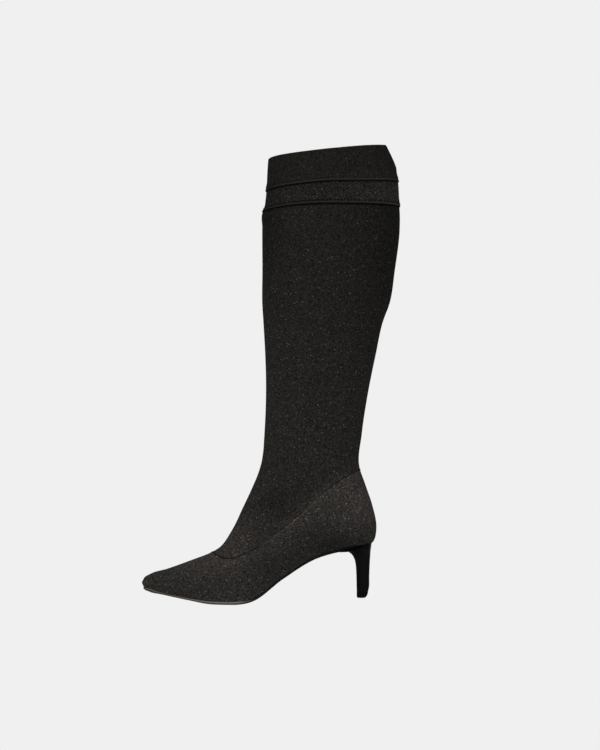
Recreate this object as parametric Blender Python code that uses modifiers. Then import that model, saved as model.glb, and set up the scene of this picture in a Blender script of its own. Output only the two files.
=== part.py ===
"""Knee-high sock-knit boot on a slim heel, for the left foot, standing empty on the floor.

The toe points to -X, the outer side of the foot is -Y and +Z is up. The origin is on the floor, in
the middle of the boot's bounding box. Sizes are millimetres until a mesh is made from them.
"""

import math
from collections import namedtuple

import bmesh
import bpy
import numpy as np

# Driving dimensions
FOOT_LENGTH = 241.5  # toe point to the back of the heel counter
CALF_OVERHANG = 24.5  # how far the calf stands out behind the heel counter
BALL_WIDTH = 74.0  # across the upper at the ball of the foot
INSTEP_HEIGHT = 140.0  # floor to where the instep turns into the shin
HEEL_HEIGHT = 58.0  # floor to the upper's lower corner at the back
CALF_DEPTH = 142.4  # shin to calf, at the widest part of the shaft
CALF_WIDTH = 101.0  # across the shaft, at its widest
SHAFT_HEIGHT = 460.0  # floor to the top of the collar

UPPER_WALL = 2.0  # knit, backing and lining of the foot panel
SHAFT_WALL = 1.6
BAND_WALL = 0.9
CUFF_WALL = 1.0
INSOLE_WALL = 2.2
TIP_THICKNESS = 5.0
GAP = 0.3  # between pieces that meet
SEAM_GAP = 0.45  # between the foot panel and the shaft
SOLE_GAP = 0.5  # between the upper's rounded underside and the sole

TOE_X = -(FOOT_LENGTH + CALF_OVERHANG) / 2
CALF_X = -TOE_X
SHIN_X = CALF_X - CALF_DEPTH

AROUND = 36  # columns of faces round the upper and the shaft
UPPER_ROWS = 32
LEG_ROWS = 16  # rows of the shaft from the seam to the shoulder under the band
ROW_CROWDING = 1.15  # rows are closer together at the toe and at the seam's upper side
COLLAR_LAP = 1.0  # how far the shaft ends below the cuff's top edge
LINE_SAMPLES = 120  # points along a line on the skin when it is measured
HALVINGS = 40  # steps of a search along the skin
PAST_TOP = 20.0  # how far past the last section a search may go
NUDGE = 0.5  # step for the skin's slopes, in millimetres and degrees
SHARP_EDGE = 40.0  # degrees from which an edge is not smoothed
TOE_DOME = 0.3  # how far the toe's very tip stands out of its first section
MARGIN_START = 0.10  # the upper is open underneath between these shares of the foot's length
MARGIN_END = 0.92
MARGIN_HEIGHT = 1.1 * HEEL_HEIGHT  # and below this

# Sections of the last, from the toe to the ankle. Each one is a closed curve in a plane across the
# foot, from a point of the ridge (top) to a point of the sole line or back (base).
# along: share of FOOT_LENGTH behind the toe; top_rise: share of INSTEP_HEIGHT; base_rise: share of
# HEEL_HEIGHT; lateral, medial: half widths, share of BALL_WIDTH; bow: shift to the inner side in mm;
# widest: where the section is widest, 0 at the base and 1 at the top; crown, floor: how square the
# section is above and below that.
FootSection = namedtuple(
    "FootSection",
    "name top_along top_rise base_along base_rise lateral medial bow widest crown floor",
)
FOOT = [
    FootSection("toe point", 0.000, 0.107, 0.000, 0.198, 0.035, 0.035, 5.5, 0.50, 2.0, 2.0),
    FootSection("toe nose", 0.006, 0.127, 0.005, 0.160, 0.070, 0.070, 5.4, 0.46, 2.0, 2.4),
    FootSection("toe", 0.033, 0.157, 0.033, 0.136, 0.155, 0.149, 5.0, 0.42, 2.0, 4.0),
    FootSection("toe box", 0.104, 0.195, 0.104, 0.109, 0.264, 0.247, 3.6, 0.38, 1.9, 7.0),
    FootSection("vamp", 0.203, 0.258, 0.207, 0.067, 0.392, 0.369, 1.8, 0.33, 1.85, 8.5),
    FootSection("ball", 0.306, 0.331, 0.319, 0.039, 0.490, 0.470, 0.3, 0.29, 1.85, 10.0),
    FootSection("throat", 0.345, 0.384, 0.410, 0.041, 0.505, 0.482, -0.5, 0.29, 1.85, 10.0),
    FootSection("waist front", 0.385, 0.490, 0.480, 0.083, 0.498, 0.471, -1.0, 0.31, 1.9, 8.0),
    FootSection("waist", 0.433, 0.663, 0.609, 0.452, 0.466, 0.432, -1.5, 0.36, 1.95, 6.5),
    FootSection("shank", 0.472, 0.805, 0.750, 0.790, 0.439, 0.419, -1.0, 0.42, 2.0, 6.0),
    FootSection("seat", 0.498, 0.914, 0.890, 0.936, 0.432, 0.419, 0.0, 0.45, 2.05, 5.4),
    FootSection("heel corner", 0.511, 0.993, 0.987, 1.000, 0.439, 0.432, 0.0, 0.48, 2.1, 2.9),
    FootSection("heel back", 0.516, 1.046, 1.000, 1.241, 0.446, 0.439, 0.0, 0.50, 2.1, 2.5),
    FootSection("counter", 0.519, 1.096, 0.983, 1.621, 0.453, 0.446, 0.0, 0.50, 2.1, 2.4),
    FootSection("counter top", 0.521, 1.150, 0.956, 1.957, 0.462, 0.457, 0.0, 0.50, 2.1, 2.3),
    FootSection("ankle", 0.524, 1.236, 0.927, 2.328, 0.473, 0.473, 0.0, 0.50, 2.1, 2.2),
]

# Sections of the shaft, from above the ankle to the collar. front_in, back_in: share of CALF_DEPTH
# inside the shin line and the calf line; rises: share of SHAFT_HEIGHT; half: half width, share of
# CALF_WIDTH.
ShaftSection = namedtuple("ShaftSection", "name front_in front_rise back_in back_rise half")
SHAFT = [
    ShaftSection("low shaft", 0.027, 0.417, 0.277, 0.365, 0.361),
    ShaftSection("shin", 0.030, 0.474, 0.236, 0.450, 0.381),
    ShaftSection("calf start", 0.024, 0.543, 0.176, 0.543, 0.416),
    ShaftSection("calf dent", 0.011, 0.615, 0.125, 0.615, 0.450),
    ShaftSection("calf fold", 0.003, 0.656, 0.077, 0.656, 0.470),
    ShaftSection("calf", 0.004, 0.728, 0.040, 0.728, 0.488),
    ShaftSection("calf top", 0.0030, 0.8250, 0.0040, 0.8250, 0.4980),
    ShaftSection("shoulder", 0.0045, 0.8575, 0.0040, 0.8575, 0.4960),
    ShaftSection("under band", 0.0240, 0.8690, 0.0065, 0.8690, 0.4870),
    ShaftSection("band", 0.0345, 0.8890, 0.0152, 0.8890, 0.4810),
    ShaftSection("under cuff", 0.0425, 0.9170, 0.0200, 0.9170, 0.4765),
    ShaftSection("cuff", 0.0450, 0.9370, 0.0285, 0.9370, 0.4735),
    ShaftSection("collar", 0.0610, 1.0110, 0.0490, 1.0110, 0.4630),
]
SHAFT_SQUARENESS = 2.2

# The seam between foot panel and shaft, seen from the side: x from the bounding box's middle, z above
# the floor.
SeamPoint = namedtuple("SeamPoint", "x z")
SEAM = [
    SeamPoint(-60.0, 45.9),
    SeamPoint(-42.0, 44.3),
    SeamPoint(-19.0, 53.8),
    SeamPoint(27.0, 86.5),
    SeamPoint(62.0, 117.9),
    SeamPoint(76.0, 126.7),
    SeamPoint(92.0, 132.3),
]

# Rings round the top of the shaft: heights above the floor at the shin, the sides and the calf; bend is
# 1 where a ring drops soon after the sides, 0 where it drops evenly and -1 where it drops near the shin.
RingLine = namedtuple("RingLine", "front side back bend")
BAND_LINE = RingLine(395.0, 399.0, 400.2, -1.0)
CUFF_LINE = RingLine(416.4, 421.3, 425.6, 0.0)
COLLAR_LINE = RingLine(449.6, 453.6, 461.2, 1.0)
SCOOP_DEPTH = 19.8  # dip of the collar at the middle of the back
SCOOP_START = 35.5  # degrees round the shaft from the middle of the back
SCOOP_FULL = 11.0

# Profiles of the band and the cuff: rise above their lower line, lift off the shaft.
Fold = namedtuple("Fold", "rise lift")
HEM_ROLL = 0.3  # how far a rolled hem stands out
HEM_RISES = (0.2, 1.4, 2.8)  # a hem's lower edge, the top of its roll and its end
RIM_DROP = 0.8  # rounding of the cuff's top edge: down its outer face
RIM_SHARE = 0.6  # and across its wall
SHOULDER = 8.0  # how far below the band the shaft starts to draw in
BAND_BACKING = (-4.0, -1.0, 2.5, 7.0)  # rises of the shaft's rows about the band's lower line
BAND_TUCK = 3.0  # how far the band runs up under the cuff
BAND_SHOWN = 1.0  # the band's last row of faces outside the cuff ends this far below it
CUFF_TAPER = 4.0  # height over which the cuff comes in above the band
CUFF_LAP = BAND_TUCK + CUFF_TAPER + 0.8  # where the cuff lies on the shaft again
CUFF_SETTLE = 1.0  # and how much higher its outer face does

# The outsole: share of the upper's half width that it covers, and its thickness at the middle.
SoleStation = namedtuple("SoleStation", "along cover wall")
SOLE = [
    SoleStation(0.007, 0.62, 0.8),
    SoleStation(0.016, 0.86, 0.85),
    SoleStation(0.030, 0.94, 0.9),
    SoleStation(0.080, 0.94, 1),
    SoleStation(0.200, 0.93, 1.2),
    SoleStation(0.300, 0.955, 1.8),
    SoleStation(0.380, 0.96, 1.9),
    SoleStation(0.440, 0.94, 1.75),
    SoleStation(0.480, 0.87, 1.6),
    SoleStation(0.620, 0.74, 1.3),
    SoleStation(0.800, 0.75, 1.2),
    SoleStation(0.880, 0.74, 1.2),
    SoleStation(0.930, 0.64, 1.2),
    SoleStation(0.960, 0.46, 1.2),
    SoleStation(0.973, 0.28, 1.2),
    SoleStation(0.979, 0.08, 1.2),
]
SOLE_RINGS = 38
SOLE_CROWDING = 0.10  # rings are closer together at toe and heel
SOLE_EDGE_ROUND = 0.5
UNDERSIDE = (1.0, 0.9, 0.7, 0.4)  # points across an underside, as shares of its half width
INSOLE_START = 0.075
INSOLE_END = 0.93
INSOLE_RINGS = 18
INSOLE_COVER = 0.80
EndCover = namedtuple("EndCover", "cover growth")  # at the very end, and per share of the length from it
INSOLE_TOE = EndCover(0.5, 5.0)
INSOLE_HEEL = EndCover(0.3, 7.0)

# The heel, from its tip up to the seat: x and z of its breast (front) and back, and half width.
HeelLevel = namedtuple("HeelLevel", "name front_x front_z back_x back_z half")
HEEL = [
    HeelLevel("above tip", 88.4, TIP_THICKNESS + GAP, 99.9, TIP_THICKNESS + GAP, 6.8),
    HeelLevel("rear round", 88.3, 9.0, 100.8, 9.0, 7.0),
    HeelLevel("stem", 88.0, 22.0, 101.2, 22.0, 7.6),
    HeelLevel("neck", 87.2, 33.0, 101.6, 33.0, 9.4),
    HeelLevel("flare", 85.4, 40.0, 102.0, 41.0, 12.4),
    HeelLevel("breast", 81.9, 45.8, 102.4, 47.5, 16.6),
    HeelLevel("breast top", 78.0, 48.8, 102.7, 50.8, 20.0),
    HeelLevel("wing", 73.0, 50.0, 103.0, 53.2, 22.6),
    HeelLevel("wing edge", 69.0, 50.0, 103.2, 54.6, 23.6),
    HeelLevel("seat", 68.0, 60.0, 103.2, 60.0, 23.9),  # held down to the sole's underside
]
HEEL_AROUND = 24
SEAT_STEP = 0.7  # least height between neighbouring levels under the seat
HEEL_BREAST_SQUARE = 5.0  # the breast is flat
HEEL_BACK_SQUARE = 2.8
TIP_REAR_ROUND = 2.2  # how far the tip's back edge comes in towards the floor
TIP_LEVELS = (1.0, 0.5, 0.0)  # shares of its thickness

MM = 0.001


def section_table():
    """The last's sections in millimetres, one row each: top_x, top_z, base_x, base_z, lateral, medial,
    bow, widest, crown, floor."""
    rows = []
    for s in FOOT:
        top = (TOE_X + s.top_along * FOOT_LENGTH, s.top_rise * INSTEP_HEIGHT)
        base = (TOE_X + s.base_along * FOOT_LENGTH, s.base_rise * HEEL_HEIGHT)
        widths = (s.lateral * BALL_WIDTH, s.medial * BALL_WIDTH)
        rows.append((*top, *base, *widths, s.bow, s.widest, s.crown, s.floor))
    for s in SHAFT:
        front = (SHIN_X + s.front_in * CALF_DEPTH, s.front_rise * SHAFT_HEIGHT)
        back = (CALF_X - s.back_in * CALF_DEPTH, s.back_rise * SHAFT_HEIGHT)
        half = s.half * CALF_WIDTH
        rows.append((*front, *back, half, half, 0.0, 0.5, SHAFT_SQUARENESS, SHAFT_SQUARENESS))
    return np.array(rows)


def smooth_curve(stations, values):
    """A function that runs smoothly through values at the given stations, and straight on past them."""
    stations = np.asarray(stations, float)
    values = np.asarray(values, float)
    steps = np.diff(stations)
    if values.ndim > 1:
        steps = steps[:, None]
    slopes = np.diff(values, axis=0) / steps
    inner = (slopes[:-1] * steps[1:] + slopes[1:] * steps[:-1]) / (steps[1:] + steps[:-1])
    tangents = np.concatenate([slopes[:1], inner, slopes[-1:]])

    def at(station):
        if station <= stations[0]:
            return values[0] + tangents[0] * (station - stations[0])
        if station >= stations[-1]:
            return values[-1] + tangents[-1] * (station - stations[-1])
        i = int(np.searchsorted(stations, station, side="right")) - 1
        width = stations[i + 1] - stations[i]
        t = (station - stations[i]) / width
        blend = t * t * (3 - 2 * t)
        lead = t * (1 - t) ** 2 * width
        trail = t * t * (t - 1) * width
        ends = values[i] * (1 - blend) + values[i + 1] * blend
        return ends + tangents[i] * lead + tangents[i + 1] * trail

    return at


SECTIONS = section_table()
# Stations measure the way from section to section, midway between ridge and base, in millimetres.
_moves = np.diff(SECTIONS[:, :4], axis=0)
_ways = (np.hypot(_moves[:, 0], _moves[:, 1]) + np.hypot(_moves[:, 2], _moves[:, 3])) / 2
STATIONS = np.concatenate([[0.0], np.cumsum(_ways)])
section_at = smooth_curve(STATIONS, SECTIONS)
seam_height = smooth_curve([p.x for p in SEAM], [p.z for p in SEAM])
sole_cover = smooth_curve([s.along for s in SOLE], [s.cover for s in SOLE])
sole_wall = smooth_curve([s.along for s in SOLE], [s.wall for s in SOLE])
TOP_STATION = STATIONS[-1]
HEEL_CORNER = [s.name for s in FOOT].index("heel corner")


def signed_power(value, power):
    return math.copysign(abs(value) ** power, value)


def last_point(station, angle):
    """The outer skin of upper and shaft. Angle 0 is the ridge or shin, 90 the outer side, 180 the sole line
    or back and 270 the inner side."""
    top_x, top_z, base_x, base_z, lateral, medial, bow, widest, crown, floor = section_at(station)
    turn = math.radians(angle)
    up, out = math.cos(turn), math.sin(turn)
    power = 2 / (crown if up > 0 else floor)
    reach = 1 - widest if up > 0 else widest
    share = widest + reach * signed_power(up, power)
    half = lateral if out > 0 else medial
    return np.array(
        [
            base_x + share * (top_x - base_x),
            bow - half * signed_power(out, power),
            base_z + share * (top_z - base_z),
        ]
    )


def skin_point(station, angle, lift):
    """A point lifted off the outer skin along its normal, or under it where lift is below 0."""
    along = last_point(station + NUDGE, angle) - last_point(station - NUDGE, angle)
    around = last_point(station, angle + NUDGE) - last_point(station, angle - NUDGE)
    normal = np.cross(around, along)
    return last_point(station, angle) + lift * normal / np.linalg.norm(normal)


def find_station(angle, passed, low=0.0, high=TOP_STATION):
    """The station where passed(point on the skin) turns true, going up from low."""
    for _ in range(HALVINGS):
        middle = (low + high) / 2
        if passed(last_point(middle, angle)):
            high = middle
        else:
            low = middle
    return high


def locate(x, z):
    """Station and angle of the skin's point on the outer side that is seen at (x, z) from the side."""
    low, high = 0.0, TOP_STATION + PAST_TOP
    for _ in range(HALVINGS):
        middle = (low + high) / 2
        top_x, top_z, base_x, base_z = section_at(middle)[:4]
        passed = (top_x - base_x) * (z - base_z) > (top_z - base_z) * (x - base_x)
        low, high = (low, middle) if passed else (middle, high)
    row = section_at(high)
    top, base, seen = row[:2], row[2:4], np.array([x, z])
    share = np.clip(np.dot(seen - base, top - base) / np.dot(top - base, top - base), 0, 1)
    widest, crown, floor = row[7:]
    if share > widest:
        up = ((share - widest) / (1 - widest)) ** (crown / 2)
    else:
        up = -(((widest - share) / widest) ** (floor / 2))
    return high, math.degrees(math.acos(up))


def spaced(stations, angles, shares):
    """(station, angle) pairs at the given shares of the skin line that runs through stations and angles."""
    points = np.array([last_point(s, a) for s, a in zip(stations, angles)])
    steps = np.linalg.norm(np.diff(points, axis=0), axis=1)
    lengths = np.concatenate([[0.0], np.cumsum(steps)]) / steps.sum()
    return list(zip(np.interp(shares, lengths, stations), np.interp(shares, lengths, angles)))


def seam_columns(lift=0.0):
    """(station, angle) where the columns of faces meet the seam on the outer side, evenly spaced along it,
    from the ridge to the back."""

    def above(point):
        return point[2] > seam_height(point[0]) + lift

    def angle_at(station):
        low, high = 0.0, 180.0
        for _ in range(HALVINGS):
            middle = (low + high) / 2
            low, high = (middle, high) if above(last_point(station, middle)) else (low, middle)
        return low

    first, last = find_station(0.0, above), find_station(180.0, above)
    turns = np.linspace(0, math.pi, LINE_SAMPLES)
    stations = first + (last - first) * (1 - np.cos(turns)) / 2
    angles = [0.0] + [angle_at(s) for s in stations[1:-1]] + [180.0]
    return spaced(stations, angles, np.linspace(0, 1, AROUND // 2 + 1))


def both_sides(columns):
    """Columns of the outer side, carried on round the inner side."""
    return columns + [(s, 360 - a) for s, a in reversed(columns[1:-1])]


def height_station(angle, height):
    return find_station(angle, lambda p: p[2] > height, low=STATIONS[len(FOOT)], high=TOP_STATION + PAST_TOP)


def base_station(x):
    """The station whose point of the sole line is at x."""
    return find_station(180.0, lambda p: p[0] > x, high=STATIONS[HEEL_CORNER])


def ring_height(line, angle, rear_power=2.0):
    """Height of a ring line at an angle round the shaft."""
    c = math.cos(math.radians(angle))
    if c > 0:
        return line.side + (line.front - line.side) * c * (1 + line.bend * (1 - c))
    return line.side + (line.back - line.side) * abs(c) ** rear_power


def collar_height(angle):
    """The collar rises evenly towards the back and dips in a scoop at its middle."""
    start, full, here = (-math.cos(math.radians(a)) for a in (180 - SCOOP_START, 180 - SCOOP_FULL, angle))
    scoop = min(1.0, max(0.0, (here - start) / (full - start)))
    return ring_height(COLLAR_LINE, angle, rear_power=1.0) - SCOOP_DEPTH * scoop


def mesh_object(name, points, faces, material, collection):
    """A mesh object from points in millimetres, with its faces turned outwards."""
    bm = bmesh.new()
    vertices = [bm.verts.new(np.asarray(p) * MM) for p in points]
    for face in faces:
        bm.faces.new([vertices[i] for i in face])
    bmesh.ops.recalc_face_normals(bm, faces=bm.faces)
    mesh = bpy.data.meshes.new(name)
    bm.to_mesh(mesh)
    bm.free()
    mesh.shade_smooth()
    mesh.set_sharp_from_angle(angle=math.radians(SHARP_EDGE))
    mesh.materials.append(material)
    obj = bpy.data.objects.new(name, mesh)
    collection.objects.link(obj)
    return obj


def ring_strips(ring_count, size, closed=True):
    """Quads between neighbouring rings of equal size, numbered ring by ring."""
    faces = []
    for r in range(ring_count - 1):
        for k in range(size if closed else size - 1):
            n = (k + 1) % size
            faces.append((r * size + k, r * size + n, (r + 1) * size + n, (r + 1) * size + k))
    return faces


def ladder_cap(first, size):
    """Faces that close a ring whose points k and size - k lie opposite each other."""
    half = size // 2
    faces = [(first, first + 1, first + size - 1)]
    for k in range(1, half - 1):
        faces.append((first + k, first + k + 1, first + size - k - 1, first + size - k))
    faces.append((first + half - 1, first + half, first + half + 1))
    return faces


def add_wall(obj, thickness):
    """Gives an open surface a wall, inwards from it."""
    wall = obj.modifiers.new("wall", "SOLIDIFY")
    wall.thickness = thickness * MM
    wall.offset = -1.0
    wall.use_quality_normals = True


def angles_round():
    return [360.0 * k / AROUND for k in range(AROUND)]


def build_upper(material, collection):
    """Foot panel: from the toe point to the seam, open underneath inside the lasting margin."""
    seam = both_sides(seam_columns())
    points = []
    for r in range(UPPER_ROWS + 1):
        share = (r / UPPER_ROWS) ** ROW_CROWDING
        bend = share**3  # columns turn towards the seam only near it
        for a, (seam_station, seam_angle) in zip(angles_round(), seam):
            points.append(last_point(share * seam_station, a + bend * (seam_angle - a)))
    faces = ring_strips(UPPER_ROWS + 1, AROUND)
    bottom = AROUND // 2
    first_x, last_x = TOE_X + MARGIN_START * FOOT_LENGTH, TOE_X + MARGIN_END * FOOT_LENGTH

    def over_sole(face):
        along = [points[i][0] for i in face]
        low = max(points[i][2] for i in face) < MARGIN_HEIGHT
        return face[0] % AROUND in (bottom - 1, bottom) and min(along) > first_x and max(along) < last_x and low

    faces = [f for f in faces if not over_sole(f)]
    tip = len(points)
    points.append(np.mean(points[:AROUND], axis=0) - (TOE_DOME, 0, 0))
    faces += [(tip, (k + 1) % AROUND, k) for k in range(AROUND)]
    upper = mesh_object("upper", points, faces, material, collection)
    add_wall(upper, UPPER_WALL)
    return upper


def leg_rows():
    """Rows of skin points, as (station, angle), from the seam up to the shoulder under the band. They are
    laid out in the side view between seam, shoulder, shin and calf."""
    seam = seam_columns(SEAM_GAP)
    angles = angles_round()[: AROUND // 2 + 1]
    shoulder = [(height_station(a, ring_height(BAND_LINE, a) - SHOULDER), a) for a in angles]
    shares = (np.arange(LEG_ROWS + 1) / LEG_ROWS) ** ROW_CROWDING

    def seen(pairs):
        return np.array([last_point(s, a)[[0, 2]] for s, a in pairs])

    def edge(column):
        stations = np.linspace(seam[column][0], shoulder[column][0], LINE_SAMPLES)
        return spaced(stations, np.full(LINE_SAMPLES, angles[column]), shares)

    shin, calf = edge(0), edge(-1)
    low, high, front, back = seen(seam), seen(shoulder), seen(shin), seen(calf)
    rows = [both_sides(seam)]
    for r in range(1, LEG_ROWS):
        share = shares[r]
        straight = (1 - share) * low + share * high
        row = [shin[r]]
        for k in range(1, len(angles) - 1):
            across = (1 - math.cos(math.radians(angles[k]))) / 2
            x, z = straight[k] + (1 - across) * (front[r] - straight[0]) + across * (back[r] - straight[-1])
            row.append(locate(x, z))
        rows.append(both_sides(row + [calf[r]]))
    return rows + [both_sides(shoulder)]


def top_rows():
    """Rows of the shaft from the shoulder to the collar, where the band and the cuff cover it."""

    def heights(angle):
        band, cuff = ring_height(BAND_LINE, angle), ring_height(CUFF_LINE, angle)
        return [band + rise for rise in BAND_BACKING] + [cuff, cuff + CUFF_LAP, collar_height(angle) - COLLAR_LAP]

    columns = [[(height_station(a, h), a) for h in heights(a)] for a in angles_round()]
    return list(zip(*columns))


def build_shaft(material, collection):
    """Knitted tube from the seam to the collar."""
    rows = leg_rows() + top_rows()
    points = [last_point(s, a) for row in rows for s, a in row]
    shaft = mesh_object("shaft", points, ring_strips(len(rows), AROUND), material, collection)
    add_wall(shaft, SHAFT_WALL)
    return shaft


def sweep_ring(name, profile_at, material, collection):
    """A closed band round the shaft. profile_at(angle) lists (height, lift) pairs, once round the band's
    own section."""
    points = []
    for a in angles_round():
        for height, lift in profile_at(a):
            points.append(skin_point(height_station(a, height), a, lift))
    size = len(profile_at(0.0))
    faces = ring_strips(AROUND, size)
    last = (AROUND - 1) * size
    for k in range(size):
        n = (k + 1) % size
        faces.append((last + k, last + n, n, k))
    return mesh_object(name, points, faces, material, collection)


def build_band(material, collection):
    outer = GAP + BAND_WALL
    edge, roll, end = HEM_RISES
    folds = [Fold(0.0, GAP), Fold(edge, outer), Fold(roll, outer + HEM_ROLL), Fold(end, outer)]

    def profile(angle):
        low = ring_height(BAND_LINE, angle)
        cuff = ring_height(CUFF_LINE, angle)
        high = cuff + BAND_TUCK
        hem = [(low + f.rise, f.lift) for f in folds]
        middle = low + BAND_BACKING[-1]
        return hem + [(middle, outer), (cuff - BAND_SHOWN, outer), (high, outer), (high, GAP), (middle, GAP)]

    return sweep_ring("shaft_band", profile, material, collection)


def build_cuff(material, collection):
    lap = 2 * GAP + BAND_WALL  # inside face of the cuff where it covers the band
    inner = [Fold(CUFF_LAP, GAP), Fold(CUFF_LAP - CUFF_TAPER, lap), Fold(0.0, lap)]
    edge, roll, end = HEM_RISES
    outer = [
        Fold(edge, lap + CUFF_WALL),
        Fold(roll, lap + CUFF_WALL + HEM_ROLL),
        Fold(end, lap + CUFF_WALL),
        Fold(CUFF_LAP + CUFF_SETTLE, GAP + CUFF_WALL),
    ]

    def profile(angle):
        low = ring_height(CUFF_LINE, angle)
        high = collar_height(angle)
        sides = [(low + f.rise, f.lift) for f in inner + outer]
        rim = [(high - RIM_DROP, GAP + CUFF_WALL), (high, GAP + RIM_SHARE * CUFF_WALL)]
        return [(high, GAP)] + sides + rim

    return sweep_ring("top_cuff", profile, material, collection)


def tread_height(x):
    """Underside of the sole at x, with a flat spot on the floor under the ball."""
    base = last_point(base_station(x), 180.0)
    return max(0.0, base[2] - SOLE_GAP - sole_wall((x - TOE_X) / FOOT_LENGTH))


def across(station, cover, lift):
    """Points across the upper's underside from its outer to its inner edge, lifted off the skin.
    cover is the share of the half width that they span."""
    floor = section_at(station)[9]
    bends = [math.degrees(math.asin((cover * s) ** (floor / 2))) for s in UNDERSIDE]
    angles = [180 - b for b in bends] + [180.0] + [180 + b for b in reversed(bends)]
    return [skin_point(station, a, lift) for a in angles]


def sole_ring(along):
    """One section of the sole: its top follows the upper's underside, its tread is flat across."""
    top = across(base_station(TOE_X + along * FOOT_LENGTH), sole_cover(along), SOLE_GAP)
    lateral, centre, medial = top[0], top[len(top) // 2], top[-1]
    tread = max(0.0, centre[2] - sole_wall(along))
    middle = (lateral[1] + medial[1]) / 2
    inset = SOLE_EDGE_ROUND

    def under(edge, share, rise):
        y = edge[1] + math.copysign(share * inset, middle - edge[1])
        return np.array([edge[0], y, tread + rise])

    below = [under(medial, 0, inset), under(medial, 1, 0), np.array([centre[0], middle, tread])]
    return top + below + [under(lateral, 1, 0), under(lateral, 0, inset)]


def build_outsole(material, collection):
    first, last = SOLE[0].along, SOLE[-1].along
    rings = []
    for k in range(SOLE_RINGS + 1):
        share = k / SOLE_RINGS
        crowd = share - SOLE_CROWDING * math.sin(2 * math.pi * share)
        rings.append(sole_ring(first + crowd * (last - first)))
    size = len(rings[0])
    points = [p for ring in rings for p in ring]
    faces = ring_strips(len(rings), size)
    faces.append(tuple(range(size)))
    faces.append(tuple(range(len(points) - size, len(points))))
    return mesh_object("outsole", points, faces, material, collection)


def build_insole(material, collection):
    """Board and sock lining, lying on the upper's lasting margin inside the foot."""
    rings = []
    for k in range(INSOLE_RINGS + 1):
        along = INSOLE_START + (INSOLE_END - INSOLE_START) * k / INSOLE_RINGS
        station = base_station(TOE_X + along * FOOT_LENGTH)
        toe_cover = INSOLE_TOE.cover + INSOLE_TOE.growth * (along - INSOLE_START)
        heel_cover = INSOLE_HEEL.cover + INSOLE_HEEL.growth * (INSOLE_END - along)
        cover = min(INSOLE_COVER, toe_cover, heel_cover)
        low = across(station, cover, -UPPER_WALL - 2 * GAP)
        middle = len(low) // 2
        thickness = skin_point(station, 180.0, -UPPER_WALL - 2 * GAP - INSOLE_WALL) - low[middle]
        rings.append(low + [p + thickness for p in reversed(low)])
    size = len(rings[0])
    points = [p for ring in rings for p in ring]
    faces = ring_strips(len(rings), size)
    faces.append(tuple(range(size)))
    faces.append(tuple(range(len(points) - size, len(points))))
    return mesh_object("insole", points, faces, material, collection)


def heel_outline(level):
    """Closed outline of the heel at a level, from the middle of the breast round the outer side."""
    middle = (level.front_x + level.back_x) / 2
    reach = (level.back_x - level.front_x) / 2
    ring = []
    for k in range(HEEL_AROUND):
        turn = 2 * math.pi * k / HEEL_AROUND
        forward, out = math.cos(turn), math.sin(turn)
        power = 2 / (HEEL_BREAST_SQUARE if forward > 0 else HEEL_BACK_SQUARE)
        x = middle - reach * signed_power(forward, power)
        y = -level.half * signed_power(out, power)
        share = (x - level.front_x) / (2 * reach)
        z = level.front_z + share * (level.back_z - level.front_z)
        ring.append(np.array([x, y, z]))
    return ring


def build_heel(material, collection):
    """Slim heel with a concave breast and a thin wing forward under the seat."""
    points = []
    for i, level in enumerate(HEEL):
        below_seat = GAP + SEAT_STEP * (len(HEEL) - 1 - i)
        for x, y, z in heel_outline(level):
            points.append((x, y, min(z, tread_height(x) - below_seat)))
    faces = ring_strips(len(HEEL), HEEL_AROUND)
    faces += ladder_cap(0, HEEL_AROUND) + ladder_cap(len(points) - HEEL_AROUND, HEEL_AROUND)
    return mesh_object("heel", points, faces, material, collection)


def build_heel_tip(material, collection):
    """Top piece: the heel's lowest outline carried down to the floor, its back edge rounded forwards."""
    base = HEEL[0]
    points = []
    for share in TIP_LEVELS:
        height = TIP_THICKNESS * share
        back = base.back_x - TIP_REAR_ROUND * (1 - share) ** 2
        level = base._replace(back_x=back, front_z=height, back_z=height)
        points += heel_outline(level)
    faces = ring_strips(len(TIP_LEVELS), HEEL_AROUND)
    faces += ladder_cap(0, HEEL_AROUND) + ladder_cap(len(points) - HEEL_AROUND, HEEL_AROUND)
    return mesh_object("heel_tip", points, faces, material, collection)


def make_material(name, colour, roughness):
    material = bpy.data.materials.new(name)
    material.use_nodes = True
    shader = material.node_tree.nodes["Principled BSDF"]
    shader.inputs["Base Color"].default_value = (*colour, 1.0)
    shader.inputs["Roughness"].default_value = roughness
    shader.inputs["Metallic"].default_value = 0.0
    return material


def main():
    for obj in list(bpy.data.objects):
        bpy.data.objects.remove(obj)
    boot = bpy.data.collections.new("knit_boot")
    bpy.context.scene.collection.children.link(boot)
    foot_knit = make_material("foot_knit", (0.022, 0.020, 0.018), 0.80)
    shaft_knit = make_material("shaft_knit", (0.015, 0.014, 0.013), 0.85)
    band_knit = make_material("band_knit", (0.014, 0.013, 0.012), 0.85)
    cuff_rib = make_material("cuff_rib", (0.011, 0.010, 0.009), 0.90)
    sole_taupe = make_material("sole_taupe", (0.115, 0.095, 0.085), 0.45)
    heel_black = make_material("heel_black", (0.005, 0.005, 0.006), 0.35)
    tip_rubber = make_material("tip_rubber", (0.006, 0.006, 0.006), 0.60)
    sock_lining = make_material("sock_lining", (0.030, 0.028, 0.026), 0.75)
    build_outsole(sole_taupe, boot)
    build_heel(heel_black, boot)
    build_heel_tip(tip_rubber, boot)
    build_insole(sock_lining, boot)
    build_upper(foot_knit, boot)
    build_shaft(shaft_knit, boot)
    build_band(band_knit, boot)
    build_cuff(cuff_rib, boot)


if __name__ == "__main__":
    main()
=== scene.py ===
"""Looks of a knee-high sock-knit boot on a slim heel, for the left foot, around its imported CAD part.

The toe points to -X, the outer side of the foot is -Y and +Z is up. Shapes are worked out in
millimetres from the same sections as the CAD part, only finer, and become metres when a mesh is made.
"""

import math
from collections import namedtuple

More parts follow.
